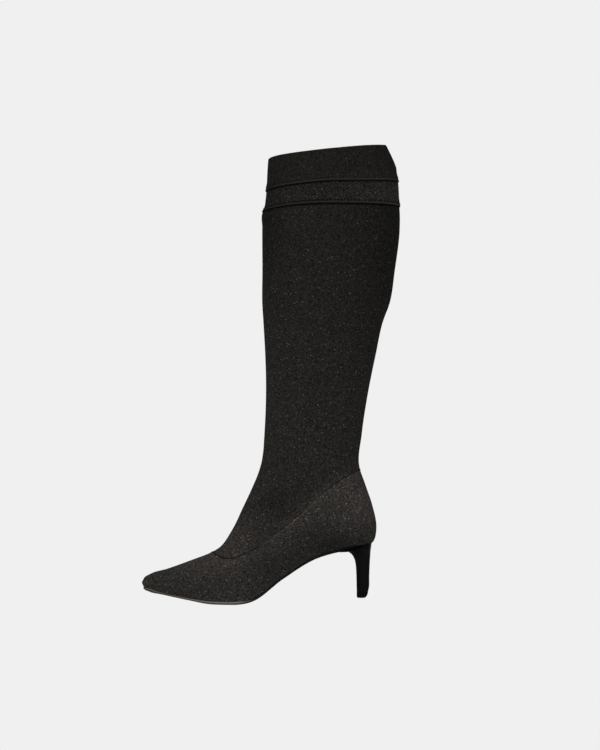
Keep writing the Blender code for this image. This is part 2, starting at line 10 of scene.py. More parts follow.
import bpy
import numpy as np
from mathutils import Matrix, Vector


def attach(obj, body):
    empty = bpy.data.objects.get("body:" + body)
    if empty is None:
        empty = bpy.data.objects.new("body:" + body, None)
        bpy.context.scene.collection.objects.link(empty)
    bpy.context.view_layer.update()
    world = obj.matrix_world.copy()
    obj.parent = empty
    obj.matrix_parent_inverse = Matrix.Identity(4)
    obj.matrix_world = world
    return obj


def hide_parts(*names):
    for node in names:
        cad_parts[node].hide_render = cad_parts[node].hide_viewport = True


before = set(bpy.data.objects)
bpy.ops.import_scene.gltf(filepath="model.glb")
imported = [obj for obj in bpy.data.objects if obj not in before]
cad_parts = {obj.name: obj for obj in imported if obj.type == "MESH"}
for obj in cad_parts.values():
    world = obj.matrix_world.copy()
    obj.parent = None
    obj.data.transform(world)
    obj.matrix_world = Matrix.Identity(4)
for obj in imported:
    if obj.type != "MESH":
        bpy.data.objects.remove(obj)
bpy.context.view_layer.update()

# Driving dimensions, as in the CAD part
FOOT_LENGTH = 241.5
CALF_OVERHANG = 24.5
BALL_WIDTH = 74.0
INSTEP_HEIGHT = 140.0
HEEL_HEIGHT = 58.0
CALF_DEPTH = 142.4
CALF_WIDTH = 101.0
SHAFT_HEIGHT = 460.0
UPPER_WALL = 2.0
SHAFT_WALL = 1.6
TIP_THICKNESS = 5.0
GAP = 0.3
SEAM_GAP = 0.38  # drawn a little tighter than in the CAD part
SOLE_GAP = 0.5
TOE_X = -(FOOT_LENGTH + CALF_OVERHANG) / 2
CALF_X = -TOE_X
SHIN_X = CALF_X - CALF_DEPTH
MM = 0.001

# Sections of the last, toe to ankle, as shares of the sizes above
FootSection = namedtuple(
    "FootSection", "top_along top_rise base_along base_rise lateral medial bow widest crown floor"
)
FOOT = [
    FootSection(0.000, 0.107, 0.000, 0.198, 0.035, 0.035, 5.5, 0.50, 2.0, 2.0),
    FootSection(0.006, 0.127, 0.005, 0.160, 0.070, 0.070, 5.4, 0.46, 2.0, 2.4),
    FootSection(0.033, 0.157, 0.033, 0.136, 0.155, 0.149, 5.0, 0.42, 2.0, 4.0),
    FootSection(0.104, 0.195, 0.104, 0.109, 0.264, 0.247, 3.6, 0.38, 1.9, 7.0),
    FootSection(0.203, 0.258, 0.207, 0.067, 0.392, 0.369, 1.8, 0.33, 1.85, 8.5),
    FootSection(0.306, 0.331, 0.319, 0.039, 0.490, 0.470, 0.3, 0.29, 1.85, 10.0),
    FootSection(0.345, 0.384, 0.410, 0.041, 0.505, 0.482, -0.5, 0.29, 1.85, 10.0),
    FootSection(0.385, 0.490, 0.480, 0.083, 0.498, 0.471, -1.0, 0.31, 1.9, 8.0),
    FootSection(0.433, 0.663, 0.609, 0.452, 0.466, 0.432, -1.5, 0.36, 1.95, 6.5),
    FootSection(0.472, 0.805, 0.750, 0.790, 0.439, 0.419, -1.0, 0.42, 2.0, 6.0),
    FootSection(0.498, 0.914, 0.890, 0.936, 0.432, 0.419, 0.0, 0.45, 2.05, 5.4),
    FootSection(0.511, 0.993, 0.987, 1.000, 0.439, 0.432, 0.0, 0.48, 2.1, 2.9),
    FootSection(0.516, 1.046, 1.000, 1.241, 0.446, 0.439, 0.0, 0.50, 2.1, 2.5),
    FootSection(0.519, 1.096, 0.983, 1.621, 0.453, 0.446, 0.0, 0.50, 2.1, 2.4),
    FootSection(0.521, 1.150, 0.956, 1.957, 0.462, 0.457, 0.0, 0.50, 2.1, 2.3),
    FootSection(0.524, 1.236, 0.927, 2.328, 0.473, 0.473, 0.0, 0.50, 2.1, 2.2),
]
BALL_ROW = 5
HEEL_CORNER_ROW = 11

# Sections of the shaft, ankle to collar
ShaftSection = namedtuple("ShaftSection", "front_in front_rise back_in back_rise half")
SHAFT = [
    ShaftSection(0.027, 0.417, 0.277, 0.365, 0.361),
    ShaftSection(0.030, 0.474, 0.236, 0.450, 0.381),
    ShaftSection(0.024, 0.543, 0.176, 0.543, 0.416),
    ShaftSection(0.011, 0.615, 0.125, 0.615, 0.450),
    ShaftSection(0.003, 0.656, 0.077, 0.656, 0.470),
    ShaftSection(0.004, 0.728, 0.040, 0.728, 0.488),
    ShaftSection(0.0030, 0.8250, 0.0040, 0.8250, 0.4980),
    ShaftSection(0.0045, 0.8575, 0.0040, 0.8575, 0.4960),
    ShaftSection(0.0240, 0.8690, 0.0065, 0.8690, 0.4870),
    ShaftSection(0.0345, 0.8890, 0.0152, 0.8890, 0.4810),
    ShaftSection(0.0425, 0.9170, 0.0200, 0.9170, 0.4765),
    ShaftSection(0.0450, 0.9370, 0.0285, 0.9370, 0.4735),
    ShaftSection(0.0610, 1.0110, 0.0490, 1.0110, 0.4630),
]
CALF_ROW = len(FOOT) + 5
SHAFT_SQUARENESS = 2.2

# Seam between foot panel and shaft, from the side
SeamPoint = namedtuple("SeamPoint", "x z")
SEAM = [
    SeamPoint(-60.0, 45.9),
    SeamPoint(-42.0, 44.3),
    SeamPoint(-19.0, 53.8),
    SeamPoint(27.0, 86.5),
    SeamPoint(62.0, 117.9),
    SeamPoint(76.0, 126.7),
    SeamPoint(92.0, 132.3),
]
SEAM_SLANT = 0.8  # cosine of the seam's slope
SEAM_CLOSE = (-20.0, -4.0)  # x over which the seam closes, from the toe backwards
SEAM_REOPEN = (44.0, 62.0)
SEAM_SHUT = 0.04  # what is left of its gap between these

# Rings round the top of the shaft: heights at shin, sides and calf, and how evenly they drop to the shin
RingLine = namedtuple("RingLine", "front side back bend")
BAND_LINE = RingLine(395.0, 399.0, 400.2, -1.0)
CUFF_LINE = RingLine(416.4, 421.3, 425.6, 0.0)
COLLAR_LINE = RingLine(449.6, 453.6, 461.2, 1.0)
SCOOP_DEPTH = 19.8
SCOOP_START = 35.5  # degrees from the middle of the back
SCOOP_FULL = 11.0
SHOULDER = 8.0  # the shaft's rows follow the band from this far below it
BAND_TUCK = 3.0
CUFF_LAP = 7.8

SoleStation = namedtuple("SoleStation", "along cover wall")
SOLE = [
    SoleStation(0.007, 0.62, 0.8),
    SoleStation(0.016, 0.86, 0.85),
    SoleStation(0.030, 0.94, 0.9),
    SoleStation(0.080, 0.94, 1),
    SoleStation(0.200, 0.93, 1.2),
    SoleStation(0.300, 0.955, 1.8),
    SoleStation(0.380, 0.96, 1.9),
    SoleStation(0.440, 0.94, 1.75),
    SoleStation(0.480, 0.87, 1.6),
    SoleStation(0.620, 0.74, 1.3),
    SoleStation(0.800, 0.75, 1.2),
    SoleStation(0.880, 0.74, 1.2),
    SoleStation(0.930, 0.64, 1.2),
    SoleStation(0.960, 0.46, 1.2),
    SoleStation(0.973, 0.28, 1.2),
    SoleStation(0.979, 0.08, 1.2),
]

HeelLevel = namedtuple("HeelLevel", "front_x front_z back_x back_z half")
HEEL = [
    HeelLevel(88.4, TIP_THICKNESS + GAP, 99.9, TIP_THICKNESS + GAP, 6.8),
    HeelLevel(88.3, 9.0, 100.8, 9.0, 7.0),
    HeelLevel(88.0, 22.0, 101.2, 22.0, 7.6),
    HeelLevel(87.2, 33.0, 101.6, 33.0, 9.4),
    HeelLevel(85.4, 40.0, 102.0, 41.0, 12.4),
    HeelLevel(81.9, 45.8, 102.4, 47.5, 16.6),
    HeelLevel(78.0, 48.8, 102.7, 50.8, 20.0),
    HeelLevel(73.0, 50.0, 103.0, 53.2, 22.6),
    HeelLevel(69.0, 50.0, 103.2, 54.6, 23.6),
    HeelLevel(68.0, 60.0, 103.2, 60.0, 23.9),
]
BREAST_WEIGHT = 0.5  # of the breast against the back where levels are spaced
SEAT_STEP = 0.7
HEEL_BREAST_SQUARE = 5.0
HEEL_BACK_SQUARE = 2.8
SEAT_CUP = 5.0  # how far the seat's rim stands up round the sole
SEAT_CUP_START = 80.0  # x where the rim starts to rise
SEAT_CUP_FULL = 102.0
SEAT_RIM = 0.94  # inside of the rim, share of the seat's outline
TIP_REAR_ROUND = 2.2

# How finely the pieces are laid out
HALF_COLUMNS = 108
FOOT_ROWS = 160
LEG_ROWS = 176
ROW_CROWDING = 1.15
SEAM_TURN = 3  # the foot panel's rows turn into the seam late
RING_COLUMNS = 320
SEAM_ROWS = (0.0, 0.1, 0.25, 0.45, 0.7, 1.0, 1.4, 1.9, 2.6)  # mm from the seam
SEAM_MARGIN = 3.2  # mm from the seam where the foot panel's regular rows end
ROW_ROOM = 0.9  # share of the shaft's first regular row that its rows at the seam may take
SHAFT_TOP_ROWS = (-6.5, -5.0, -3.6, -2.8, -2.2, -1.7, -1.2, -0.6, 0.2, 2.5, 7.0)  # mm from the band's line
CUFF_SHADE_ROWS = (3.6, 2.8, 2.2, 1.7, 1.2, 0.6)  # mm below the cuff's lower line
SOLE_RINGS = 220
SOLE_CROWDING = 0.10
SOLE_ACROSS = 25
SOLE_WALL_ROWS = (0.92, 0.75, 0.55, 0.35, 0.15, 0.0)
SOLE_ROUND_TURNS = (30, 60, 90)  # degrees round the tread's edge
TREAD_ROWS = 9
TREAD_REACH = 0.9
HEEL_AROUND = 120
HEEL_LEVELS = 84
TIP_LEVELS = 13
ROUND_SAMPLES = 1441  # points of a line that is measured: round a section,
SEAM_SAMPLES = 480  # along the seam,
PANEL_SAMPLES = 80  # up the foot panel,
EDGE_SAMPLES = 400  # up shin and calf,
STITCH_SAMPLES = 2881  # and round the band's hem
HALVINGS = 40
PAST_TOP = 20.0  # how far past a line's ends its stations are looked for
NUDGE = 0.5  # step for the skin's normals
FAR = 99.0  # mm, well away from any edge
TINY = 1e-6  # keeps a divisor off zero

# Edges of the pieces, mm
LIP_HEIGHT = 0.38  # lip of the foot panel along its seam
LIP_PLACE = 1.0
LIP_WIDTH = 0.6
EDGE_ROUND = 0.5  # rounding of foot panel and shaft at the seam
MARGIN_ANGLE = 10.0  # the foot panel is open underneath, inside its lasting margin
MARGIN_START = 0.10  # shares of the foot's length
MARGIN_END = 0.92
MARGIN_HEIGHT = 1.1  # share of the heel's height
TOE_DOME = 0.7
TOE_RINGS = (0.12, 0.4, 0.65, 0.85)
TOE_WALL = 0.4  # most of a section's half size that the wall takes up
WALL_EDGE = 60.0  # degrees from which an edge of a wall stays sharp
SHARP_EDGE = 50.0  # and of sole and heel
SHAFT_DROP = 1.0  # the shaft ends this far below the collar
SOLE_EDGE_ROUND = 0.5
SOLE_BULGE = 0.15
TOP_MARK, EDGE_MARK, TREAD_MARK, CAP_MARK = 2.0, -0.2, -1.0, 0.5  # height marks of the sole's faces

# Band and cuff: lifts over the shaft, rolled hems and turned edges, mm
BAND_LIFT = 1.0  # outer face of the band
CUFF_LIFT = 2.0  # outer face of the cuff where it laps over the band
LAYER = 0.8  # thickness of a layer of knit where band and cuff end
HEM_RADIUS = 1.0
HEM_ROLL = 0.12
HEM_RISE = 1.1
HEM_TURN = (-135, 75)  # degrees of the roll's points
HEM_POINTS = 15
HEM_UNDERSIDE = 5  # of these, how many lie underneath
BAND_FOOT = 0.6  # where the layers behind the rolls start
CUFF_FOOT = 0.7
BAND_INNER_RISE = 7.0
GROOVE = (2.25, 0.28)  # rise and depth of the groove over a roll; faces and edges go on in this form
BAND_FACE = [GROOVE, (2.7, 0.12), *((rise, 0.0) for rise in (3.4, 6.0, 9.0, 12.0, 15.0))]
CUFF_FACE = [GROOVE, (2.9, 0.2)]
CUFF_SETTLE = (2.0, 10.0)  # rises between which the cuff settles from the band to the shaft
CUFF_SETTLE_ROWS = (4.0, 5.5, 7.0, 8.5, 10.0)
LAP_SLOPE = 4.0
COLLAR_ROWS = (-16.0, -11.0, -6.5, -3.0, -1.6)
RIM_FOLD = 0.6  # thickness of the cuff's edge where it turns in over the shaft
RIM_HEIGHT = 0.9
RIM_TURN = (15, 165)
RIM_POINTS = 11
TURNED_EDGE = [(-1.6, 0.0), (-4.0, 0.0), (-7.0, 0.0), (-7.4, 0.35), (-7.0, 0.4), (-1.8, 0.4)]
RIM_INNER = -0.85  # underside of the fold over the shaft's edge, and behind it
RIM_BACK = -1.8
STITCH_RISE = 3.0
STITCH_PITCH = 3.5
STITCH_LENGTH = 2.3
STITCH_RADIUS = 0.42
STITCH_SINK = 0.30  # how deep a stitch's ends go in, and how high its middle arches from there
STITCH_ARCH = 0.34
STITCH_END = 0.02
STITCH_TAPER = 0.35
STITCH_AROUND = 8
STITCH_RINGS = 7

# Soft hollows of the knit, from the side: a line from end to end, its width and its depth
Hollow = namedtuple("Hollow", "x1 z1 x2 z2 width depth")
HOLLOWS = [
    Hollow(-8.0, 87.0, 34.0, 111.0, 12.0, 2.8),
    Hollow(40.0, 120.0, 52.0, 160.0, 14.0, 0.9),
]

# Zones of painted light and shade, where a surface is painted lighter or darker, from the side: place,
# reach and gain
Zone = namedtuple("Zone", "x z reach_x reach_z gain")
FOOT_PAINTED_LIGHT = [
    Zone(106.0, 103.0, 38.0, 26.0, 0.86),  # painted light on the counter
    Zone(-36.0, 8.0, 26.0, 14.0, 0.10),  # painted light on the ball
    Zone(-92.0, 40.0, 52.0, 14.0, 0.36),  # painted light on top of the vamp
    Zone(-128.0, 18.0, 16.0, 12.0, 0.15),  # painted light on the toe
    Zone(68.0, 57.0, 36.0, 15.0, -0.46),  # painted shade where it turns under towards the heel
    Zone(4.0, 38.0, 28.0, 16.0, -0.20),  # painted shade on the waist
]
SHAFT_PAINTED_LIGHT = [
    Zone(-44.0, 60.0, 28.0, 26.0, 0.70),  # painted light on the instep
    Zone(4.0, 100.0, 24.0, 13.0, -0.26),  # painted shade in the hollow over the seam
    Zone(-22.0, 108.0, 12.0, 22.0, 0.14),  # painted light on the front of the ankle
    Zone(-12.0, 235.0, 18.0, 90.0, 0.12),  # painted light on the lower shin
    Zone(-6.0, 410.0, 20.0, 110.0, -0.38),  # painted shade on the upper shin
    Zone(138.0, 335.0, 50.0, 105.0, -0.36),  # painted shade on the back of the calf
]
RING_PAINTED_LIGHT = [
    Zone(-6.0, 410.0, 20.0, 110.0, -0.28),  # painted shade on the shin
    Zone(122.0, 408.0, 34.0, 22.0, 0.45),  # painted light on band and hems over the calf
]
HEEL_PAINTED_LIGHT = [
    Zone(72.0, 51.5, 15.0, 4.5, -0.80),  # wing, in the foot's shadow
    Zone(86.0, 50.0, 7.0, 6.0, -0.40),  # painted shade on the breast
    Zone(95.5, 24.0, 3.4, 26.0, 0.35),  # painted highlight down the middle of the stem
]

# Light and shade along seam and hems, with widths in mm
SEAM_SHADE = 0.22
SEAM_SHADE_WIDTH = 0.35
SEAM_RIDGE = 0.75  # painted highlight on the foot panel's edge about the middle of the seam
SEAM_RIDGE_PLACE = 0.6
SEAM_RIDGE_WIDTH = 0.6
SEAM_RIDGE_X = 20.0
SEAM_RIDGE_REACH = 26.0
SEAM_GLOW = 0.30  # the foot panel is lighter towards its seam
SEAM_GLOW_WIDTH = 10.0
SHAFT_GLOW = 0.34  # and so is the shaft, towards the back
SHAFT_GLOW_WIDTH = 8.0
SHAFT_GLOW_RISE = (-6.0, 24.0)  # x over which that starts
HEM_SHADE = 0.94  # shadow on the shaft under the band's hem
CUFF_SHADE = 0.86  # and on the band under the cuff's
HEM_SHADE_WIDTH = 1.9
HEM_LIGHT = 1.45
HEM_UNDER = 0.25
GROOVE_SHADE = 0.75

# Knits: spacing of stitches along and up in mm, strength of the lattice, of the yarn's unevenness and of
# the painted glints of metallic yarn, the share of cells that glint, and how far cells differ in colour
Knit = namedtuple("Knit", "colour wale course lattice grain glint glint_share tint")
FOOT_KNIT = Knit((0.0220, 0.0210, 0.0194), 2.45, 2.25, 0.16, 1.25, 4.5, 0.045, 0.30)
SHAFT_KNIT = Knit((0.0155, 0.0145, 0.0132), 3.1, 2.4, 0.12, 1.3, 4.8, 0.035, 0.12)
BAND_KNIT = Knit((0.0138, 0.0131, 0.0121), 5.9, 3.3, 0.24, 1.4, 5.0, 0.040, 0.28)
CUFF_KNIT = Knit((0.0125, 0.0116, 0.0105), 2.6, 2.2, 0.05, 1.1, 4.0, 0.015, 0.14)
HEM_KNIT = Knit((0.0140, 0.0134, 0.0130), 1.3, 1.3, 0.10, 0.30, 0.5, 0.010, 0.10)
KNIT_ROUGHNESS = 0.85
KNIT_SPECULAR = 0.02
KNIT_BUMP = (0.5, 0.25)  # strength and depth in mm
CUFF_RIB = 2.1  # mm from rib to rib
RIB_CONTRAST = 0.16
RIB_STITCH = 0.35  # how far stitches stand out between ribs
YARN_CELL = 0.92  # mm
DARKEST_YARN = 0.12
TINT_PATCH = 8.3  # size of soft colour patches, mm
TINT = 0.16
GLINT_TINT = 0.4
WARMING = 1.13  # where light is painted the knit is also warmer, and where shade is painted bluer
COOLING = -0.15
COOL_BELOW = 2.0  # knit turns bluer where its painted shade is below one over this
SHAFT_HEIGHT_PAINTED_LIGHT = (0.10, 0.42, 1.16, 0.88)  # painted light and shade: heights in metres, and how light the shaft is painted at them
INNER_SHIFT = 611.0  # the knit's pattern on the inner side doesn't mirror the outer side's

# Other surfaces: colour, roughness, gloss, size of the grain in mm, how far it varies the colour, and
# strength and depth in mm of its relief
Surface = namedtuple("Surface", "colour roughness specular grain varied bump")
LINING = Surface((0.014, 0.013, 0.012), 0.9, 0.05, 1.1, 0.3, (0.3, 0.2))
WEAVE = 410.0  # threads a metre
WEAVE_CONTRAST = 0.12
SOLE_EDGE = Surface(None, 0.55, 0.05, 3.0, 0.3, (0.15, 0.3))  # its colours change along the foot
SOLE_STRIPE = (0.35, 0.65, 0.45, 1.15)  # marks, and how light the sole's edge is at them
SOLE_UNDER = (-0.6, -0.3, 0.35, 1.0)
SOLE_COLOURS = [  # by share of the foot's length
    (0.02, (0.080, 0.064, 0.053)),
    (0.12, (0.086, 0.070, 0.060)),
    (0.18, (0.125, 0.105, 0.095)),
    (0.42, (0.150, 0.127, 0.115)),
    (0.48, (0.022, 0.0175, 0.0155)),
    (0.60, (0.014, 0.0122, 0.0110)),
    (0.80, (0.012, 0.0105, 0.0095)),
    (0.87, (0.0022, 0.0021, 0.0020)),
]
HEEL_BLACK = Surface((0.0041, 0.0041, 0.0045), 0.42, 0.02, 1.4, 0.5, (0.12, 0.2))
HEEL_CLOUDS = 16.0  # mm
HEEL_POLISH = 0.12  # how far its roughness varies
THREAD = Surface((0.0012, 0.0012, 0.0013), 0.8, 0.04, 0.6, 0.8, (0.3, 0.2))
RUBBER = Surface((0.0030, 0.0030, 0.0031), 0.7, 0.04, 0.8, 0.8, (0.25, 0.2))
FINE_DETAIL = 3.0

# The studio, in metres
BACKDROP = 0.871  # brightness of floor and backdrop
AMBIENT = 0.34
PAPER_ROUGHNESS = 0.9
STAGE_HALF = 9.0
BACKDROP_AT = 7.0
FLOOR_AT = -0.0004
CAMERA_AT = (0.0299, -1.09, 0.263)
SENSOR_HEIGHT = 24.0  # mm
VIEW_HEIGHT = 0.7725  # what the picture's height takes in at the boot's middle plane
HORIZON_ROW = 341.0
PICTURE_HEIGHT = 750.0
AreaLight = namedtuple("AreaLight", "name place target size power")
LIGHTS = [
    AreaLight("key", (-0.35, -2.0, 0.62), (0.03, 0.0, 0.22), 1.2, 13.0),
    AreaLight("overhead", (-0.35, -0.3, 1.7), (0.0, 0.0, 0.1), 1.0, 13.0),
]


def section_table():
    """The sections in mm: top_x, top_z, base_x, base_z, lateral, medial, bow, widest, crown, floor."""
    rows = []
    for s in FOOT:
        top = (TOE_X + s.top_along * FOOT_LENGTH, s.top_rise * INSTEP_HEIGHT)
        base = (TOE_X + s.base_along * FOOT_LENGTH, s.base_rise * HEEL_HEIGHT)
        widths = (s.lateral * BALL_WIDTH, s.medial * BALL_WIDTH)
        rows.append((*top, *base, *widths, s.bow, s.widest, s.crown, s.floor))
    for s in SHAFT:
        front = (SHIN_X + s.front_in * CALF_DEPTH, s.front_rise * SHAFT_HEIGHT)
        back = (CALF_X - s.back_in * CALF_DEPTH, s.back_rise * SHAFT_HEIGHT)
        half = s.half * CALF_WIDTH
        rows.append((*front, *back, half, half, 0.0, 0.5, SHAFT_SQUARENESS, SHAFT_SQUARENESS))
    return np.array(rows)


def smooth_curve(stations, values):
    """A function that runs smoothly through values at the given stations, and straight on past them."""
    stations = np.asarray(stations, float)
    values = np.asarray(values, float)
    table = values.reshape(len(values), -1)
    steps = np.diff(stations)[:, None]
    slopes = np.diff(table, axis=0) / steps
    inner = (slopes[:-1] * steps[1:] + slopes[1:] * steps[:-1]) / (steps[1:] + steps[:-1])
    tangents = np.concatenate([slopes[:1], inner, slopes[-1:]])

    def at(station):
        station = np.asarray(station, float)
        held = np.clip(station, stations[0], stations[-1])
        i = np.clip(np.searchsorted(stations, held, side="right") - 1, 0, len(steps) - 1)
        width = steps[i, 0]
        t = (held - stations[i]) / width
        blend = (t * t * (3 - 2 * t))[..., None]
        lead = (t * (1 - t) ** 2 * width)[..., None]
        trail = (t * t * (t - 1) * width)[..., None]
        found = table[i] * (1 - blend) + table[i + 1] * blend + tangents[i] * lead + tangents[i + 1] * trail
        past = (station - held)[..., None]
        found = found + past * np.where(past > 0, tangents[-1], tangents[0])
        return found if values.ndim > 1 else found[..., 0]

    return at


SECTIONS = section_table()
LATERAL, WIDEST, CROWN, FLOOR = 4, 7, 8, 9  # columns of the table
_moves = np.diff(SECTIONS[:, :4], axis=0)
_ways = (np.hypot(_moves[:, 0], _moves[:, 1]) + np.hypot(_moves[:, 2], _moves[:, 3])) / 2
STATIONS = np.concatenate([[0.0], np.cumsum(_ways)])
TOP_STATION = STATIONS[-1]
section_at = smooth_curve(STATIONS, SECTIONS)
seam_height = smooth_curve([p.x for p in SEAM], [p.z for p in SEAM])
sole_cover = smooth_curve([s.along for s in SOLE], [s.cover for s in SOLE])
sole_wall = smooth_curve([s.along for s in SOLE], [s.wall for s in SOLE])


def signed_power(value, power):
    return np.sign(value) * np.abs(value) ** power


def eased(value, limits):
    """0 before the first limit, 1 past the second, and soft between."""
    t = np.clip((value - limits[0]) / (limits[1] - limits[0]), 0, 1)
    return t * t * (3 - 2 * t)


def bell(value, width):
    return np.exp(-((value / width) ** 2))


def skin(station, angle):
    """Outer skin of upper and shaft: angle 0 is ridge or shin, 90 the outer side, 180 sole or back."""
    station, angle = np.broadcast_arrays(np.asarray(station, float), np.asarray(angle, float))
    parts = np.moveaxis(section_at(station), -1, 0)
    top_x, top_z, base_x, base_z, lateral, medial, bow, widest, crown, floor = parts
    turn = np.radians(angle)
    up, out = np.cos(turn), np.sin(turn)
    power = 2 / np.where(up > 0, crown, floor)
    reach = np.where(up > 0, 1 - widest, widest)
    share = widest + reach * signed_power(up, power)
    half = np.where(out > 0, lateral, medial)
    x = base_x + share * (top_x - base_x)
    z = base_z + share * (top_z - base_z)
    return np.stack([x, bow - half * signed_power(out, power), z], -1)


def skin_normal(station, angle):
    along = skin(station + NUDGE, angle) - skin(station - NUDGE, angle)
    around = skin(station, angle + NUDGE) - skin(station, angle - NUDGE)
    normal = np.cross(around, along)
    return normal / np.linalg.norm(normal, axis=-1, keepdims=True)


def bisect(passed, low, high):
    """Where passed(value) turns true between low and high, for each item that passed tells of."""
    for _ in range(HALVINGS):
        middle = (low + high) / 2
        hit = passed(middle)
        low, high = np.where(hit, low, middle), np.where(hit, middle, high)
    return high


def locate(x, z):
    """Station and angle of the skin's points on the outer side that are seen at (x, z) from the side."""

    def passed(station):
        top_x, top_z, base_x, base_z = np.moveaxis(section_at(station)[..., :4], -1, 0)
        return (top_x - base_x) * (z - base_z) > (top_z - base_z) * (x - base_x)

    station = bisect(passed, 0.0, TOP_STATION + PAST_TOP)
    row = section_at(station)
    top, base = row[..., :2], row[..., 2:4]
    chord = top - base
    seen = np.stack([x, z], -1) - base
    share = np.clip((seen * chord).sum(-1) / (chord * chord).sum(-1), 0, 1)
    widest, crown, floor = row[..., WIDEST], row[..., CROWN], row[..., FLOOR]
    above = np.clip((share - widest) / (1 - widest), 0, 1) ** (crown / 2)
    below = np.clip((widest - share) / widest, 0, 1) ** (floor / 2)
    return station, np.degrees(np.arccos(np.where(share > widest, above, -below)))


def lengths(points, axis=0):
    """Way along a line of points from its start."""
    steps = np.linalg.norm(np.diff(points, axis=axis), axis=-1)
    return np.insert(np.cumsum(steps, axis=axis), 0, 0.0, axis=axis)


def spaced(stations, angles, shares):
    """Stations and angles at the given shares of the skin line that runs through stations and angles."""
    way = lengths(skin(stations, angles))
    way = way / way[-1]
    return np.interp(shares, way, stations), np.interp(shares, way, angles)


def even_angles(station):
    """Angles from ridge to base that are evenly spaced round the outer side at a station."""
    fine = np.linspace(0, 180, ROUND_SAMPLES)
    return spaced(np.full_like(fine, station), fine, np.linspace(0, 1, HALF_COLUMNS + 1))[1]


def seam_closed(x):
    """1 where the seam is drawn tight, 0 where it shows as a dark line."""
    return eased(x, SEAM_CLOSE) * (1 - eased(x, SEAM_REOPEN))


def seam_way(points):
    """Millimetres from the seam, square to it as seen from the side."""
    return SEAM_SLANT * np.abs(seam_height(points[..., 0]) - points[..., 2])


def seam_line(gap, shut):
    """Stations and angles evenly spaced along the seam's outer side, from the ridge to the back.

    They lie a gap over the seam's own line, which narrows to shut where the seam is drawn tight.
    """

    def above(point):
        x = point[..., 0]
        return point[..., 2] > seam_height(x) + gap + (shut - gap) * seam_closed(x)

    first = bisect(lambda s: above(skin(s, 0.0)), 0.0, TOP_STATION)
    last = bisect(lambda s: above(skin(s, 180.0)), 0.0, TOP_STATION)
    stations = first + (last - first) * (1 - np.cos(np.linspace(0, math.pi, SEAM_SAMPLES))) / 2
    angles = bisect(lambda a: ~above(skin(stations, a)), 0.0, 180.0)
    angles[0], angles[-1] = 0.0, 180.0
    return spaced(stations, angles, np.linspace(0, 1, HALF_COLUMNS + 1))


def base_station(x):
    """The station whose point of the sole line is at x."""
    return bisect(lambda s: skin(s, 180.0)[..., 0] > x, 0.0, STATIONS[HEEL_CORNER_ROW])


def height_station(angle, height):
    """The shaft's station where its skin at an angle reaches a height."""
    first, last = STATIONS[len(FOOT)], TOP_STATION + PAST_TOP
    return bisect(lambda s: skin(s, angle)[..., 2] > height, first, last)


def ring_height(line, angle, rear_power=2.0):
    c = np.cos(np.radians(angle))
    front = line.side + (line.front - line.side) * c * (1 + line.bend * (1 - c))
    back = line.side + (line.back - line.side) * np.abs(c) ** rear_power
    return np.where(c > 0, front, back)


def band_line(angles):
    return ring_height(BAND_LINE, angles)


def cuff_line(angles):
    return ring_height(CUFF_LINE, angles)


def collar_height(angle):
    start, full, here = (-np.cos(np.radians(a)) for a in (180 - SCOOP_START, 180 - SCOOP_FULL, angle))
    scoop = np.clip((here - start) / (full - start), 0, 1)
    return ring_height(COLLAR_LINE, angle, rear_power=1.0) - SCOOP_DEPTH * scoop


def hollow_lift(x, z):
    """How far the soft hollows press the knit in at points seen at (x, z) from the side."""
    lift = np.zeros_like(x)
    for h in HOLLOWS:
        line = np.array([h.x2 - h.x1, h.z2 - h.z1])
        share = ((x - h.x1) * line[0] + (z - h.z1) * line[1]) / (line @ line)
        held = np.clip(share, 0, 1)
        away = np.hypot(x - h.x1 - held * line[0], z - h.z1 - held * line[1])
        lift -= h.depth * bell(away, h.width)
    return lift


def painted_light_gain(zones, points):
    """How light a surface is painted at points, 1 outside the zones."""
    gain = np.ones(points.shape[:-1])
    for zone in zones:
        near_x = bell(points[..., 0] - zone.x, zone.reach_x)
        gain += zone.gain * near_x * bell(points[..., 2] - zone.z, zone.reach_z)
    return gain


def all_round(near, far):
    """Columns of the outer side, carried on backwards round the inner side."""
    return np.concatenate([near, far[:, -2:0:-1]], axis=1)


def edge_roll(way, radius):
    """How far an edge turns in over the last radius millimetres."""
    t = np.clip(1 - way / radius, 0, 1)
    return -radius * (1 - np.sqrt(1 - t * t))


def make_piece(
    name, points, faces, materials, node=None, uv=None, shade=None, sharp=None, slots=None
):
    """A mesh piece from points in mm; uv per face corner, shade (painted light and shade) per point, slots
    per face.
    """
    mesh = bpy.data.meshes.new(name)
    mesh.from_pydata((np.asarray(points) * MM).tolist(), [], [list(map(int, f)) for f in faces])
    if slots is not None:
        mesh.polygons.foreach_set("material_index", slots)
    if uv is not None:
        layer = mesh.uv_layers.new(name="flat")
        layer.data.foreach_set("uv", np.asarray(uv, np.float32).ravel())
    if shade is not None:
        kept = mesh.attributes.new("shade", "FLOAT", "POINT")
        kept.data.foreach_set("value", np.asarray(shade, np.float32).ravel())
    mesh.shade_smooth()
    if sharp:
        mesh.set_sharp_from_angle(angle=math.radians(sharp))
    for material in materials:
        mesh.materials.append(material)
    piece = bpy.data.objects.new(name, mesh)
    bpy.context.scene.collection.objects.link(piece)
    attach(piece, "root")
    if node:
        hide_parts(node)


def strips(rows, columns):
    """Quads of a grid of points, row by row, whose last column joins the first."""
    r, k = np.meshgrid(np.arange(rows - 1), np.arange(columns), indexing="ij")
    n = (k + 1) % columns
    return np.stack([r * columns + k, r * columns + n, (r + 1) * columns + n, (r + 1) * columns + k], -1)


def corner_values(grid):
    """Values of a (rows, columns + 1) grid at the corners of its faces."""
    return np.stack([grid[:-1, :-1], grid[:-1, 1:], grid[1:, 1:], grid[1:, :-1]], 2)


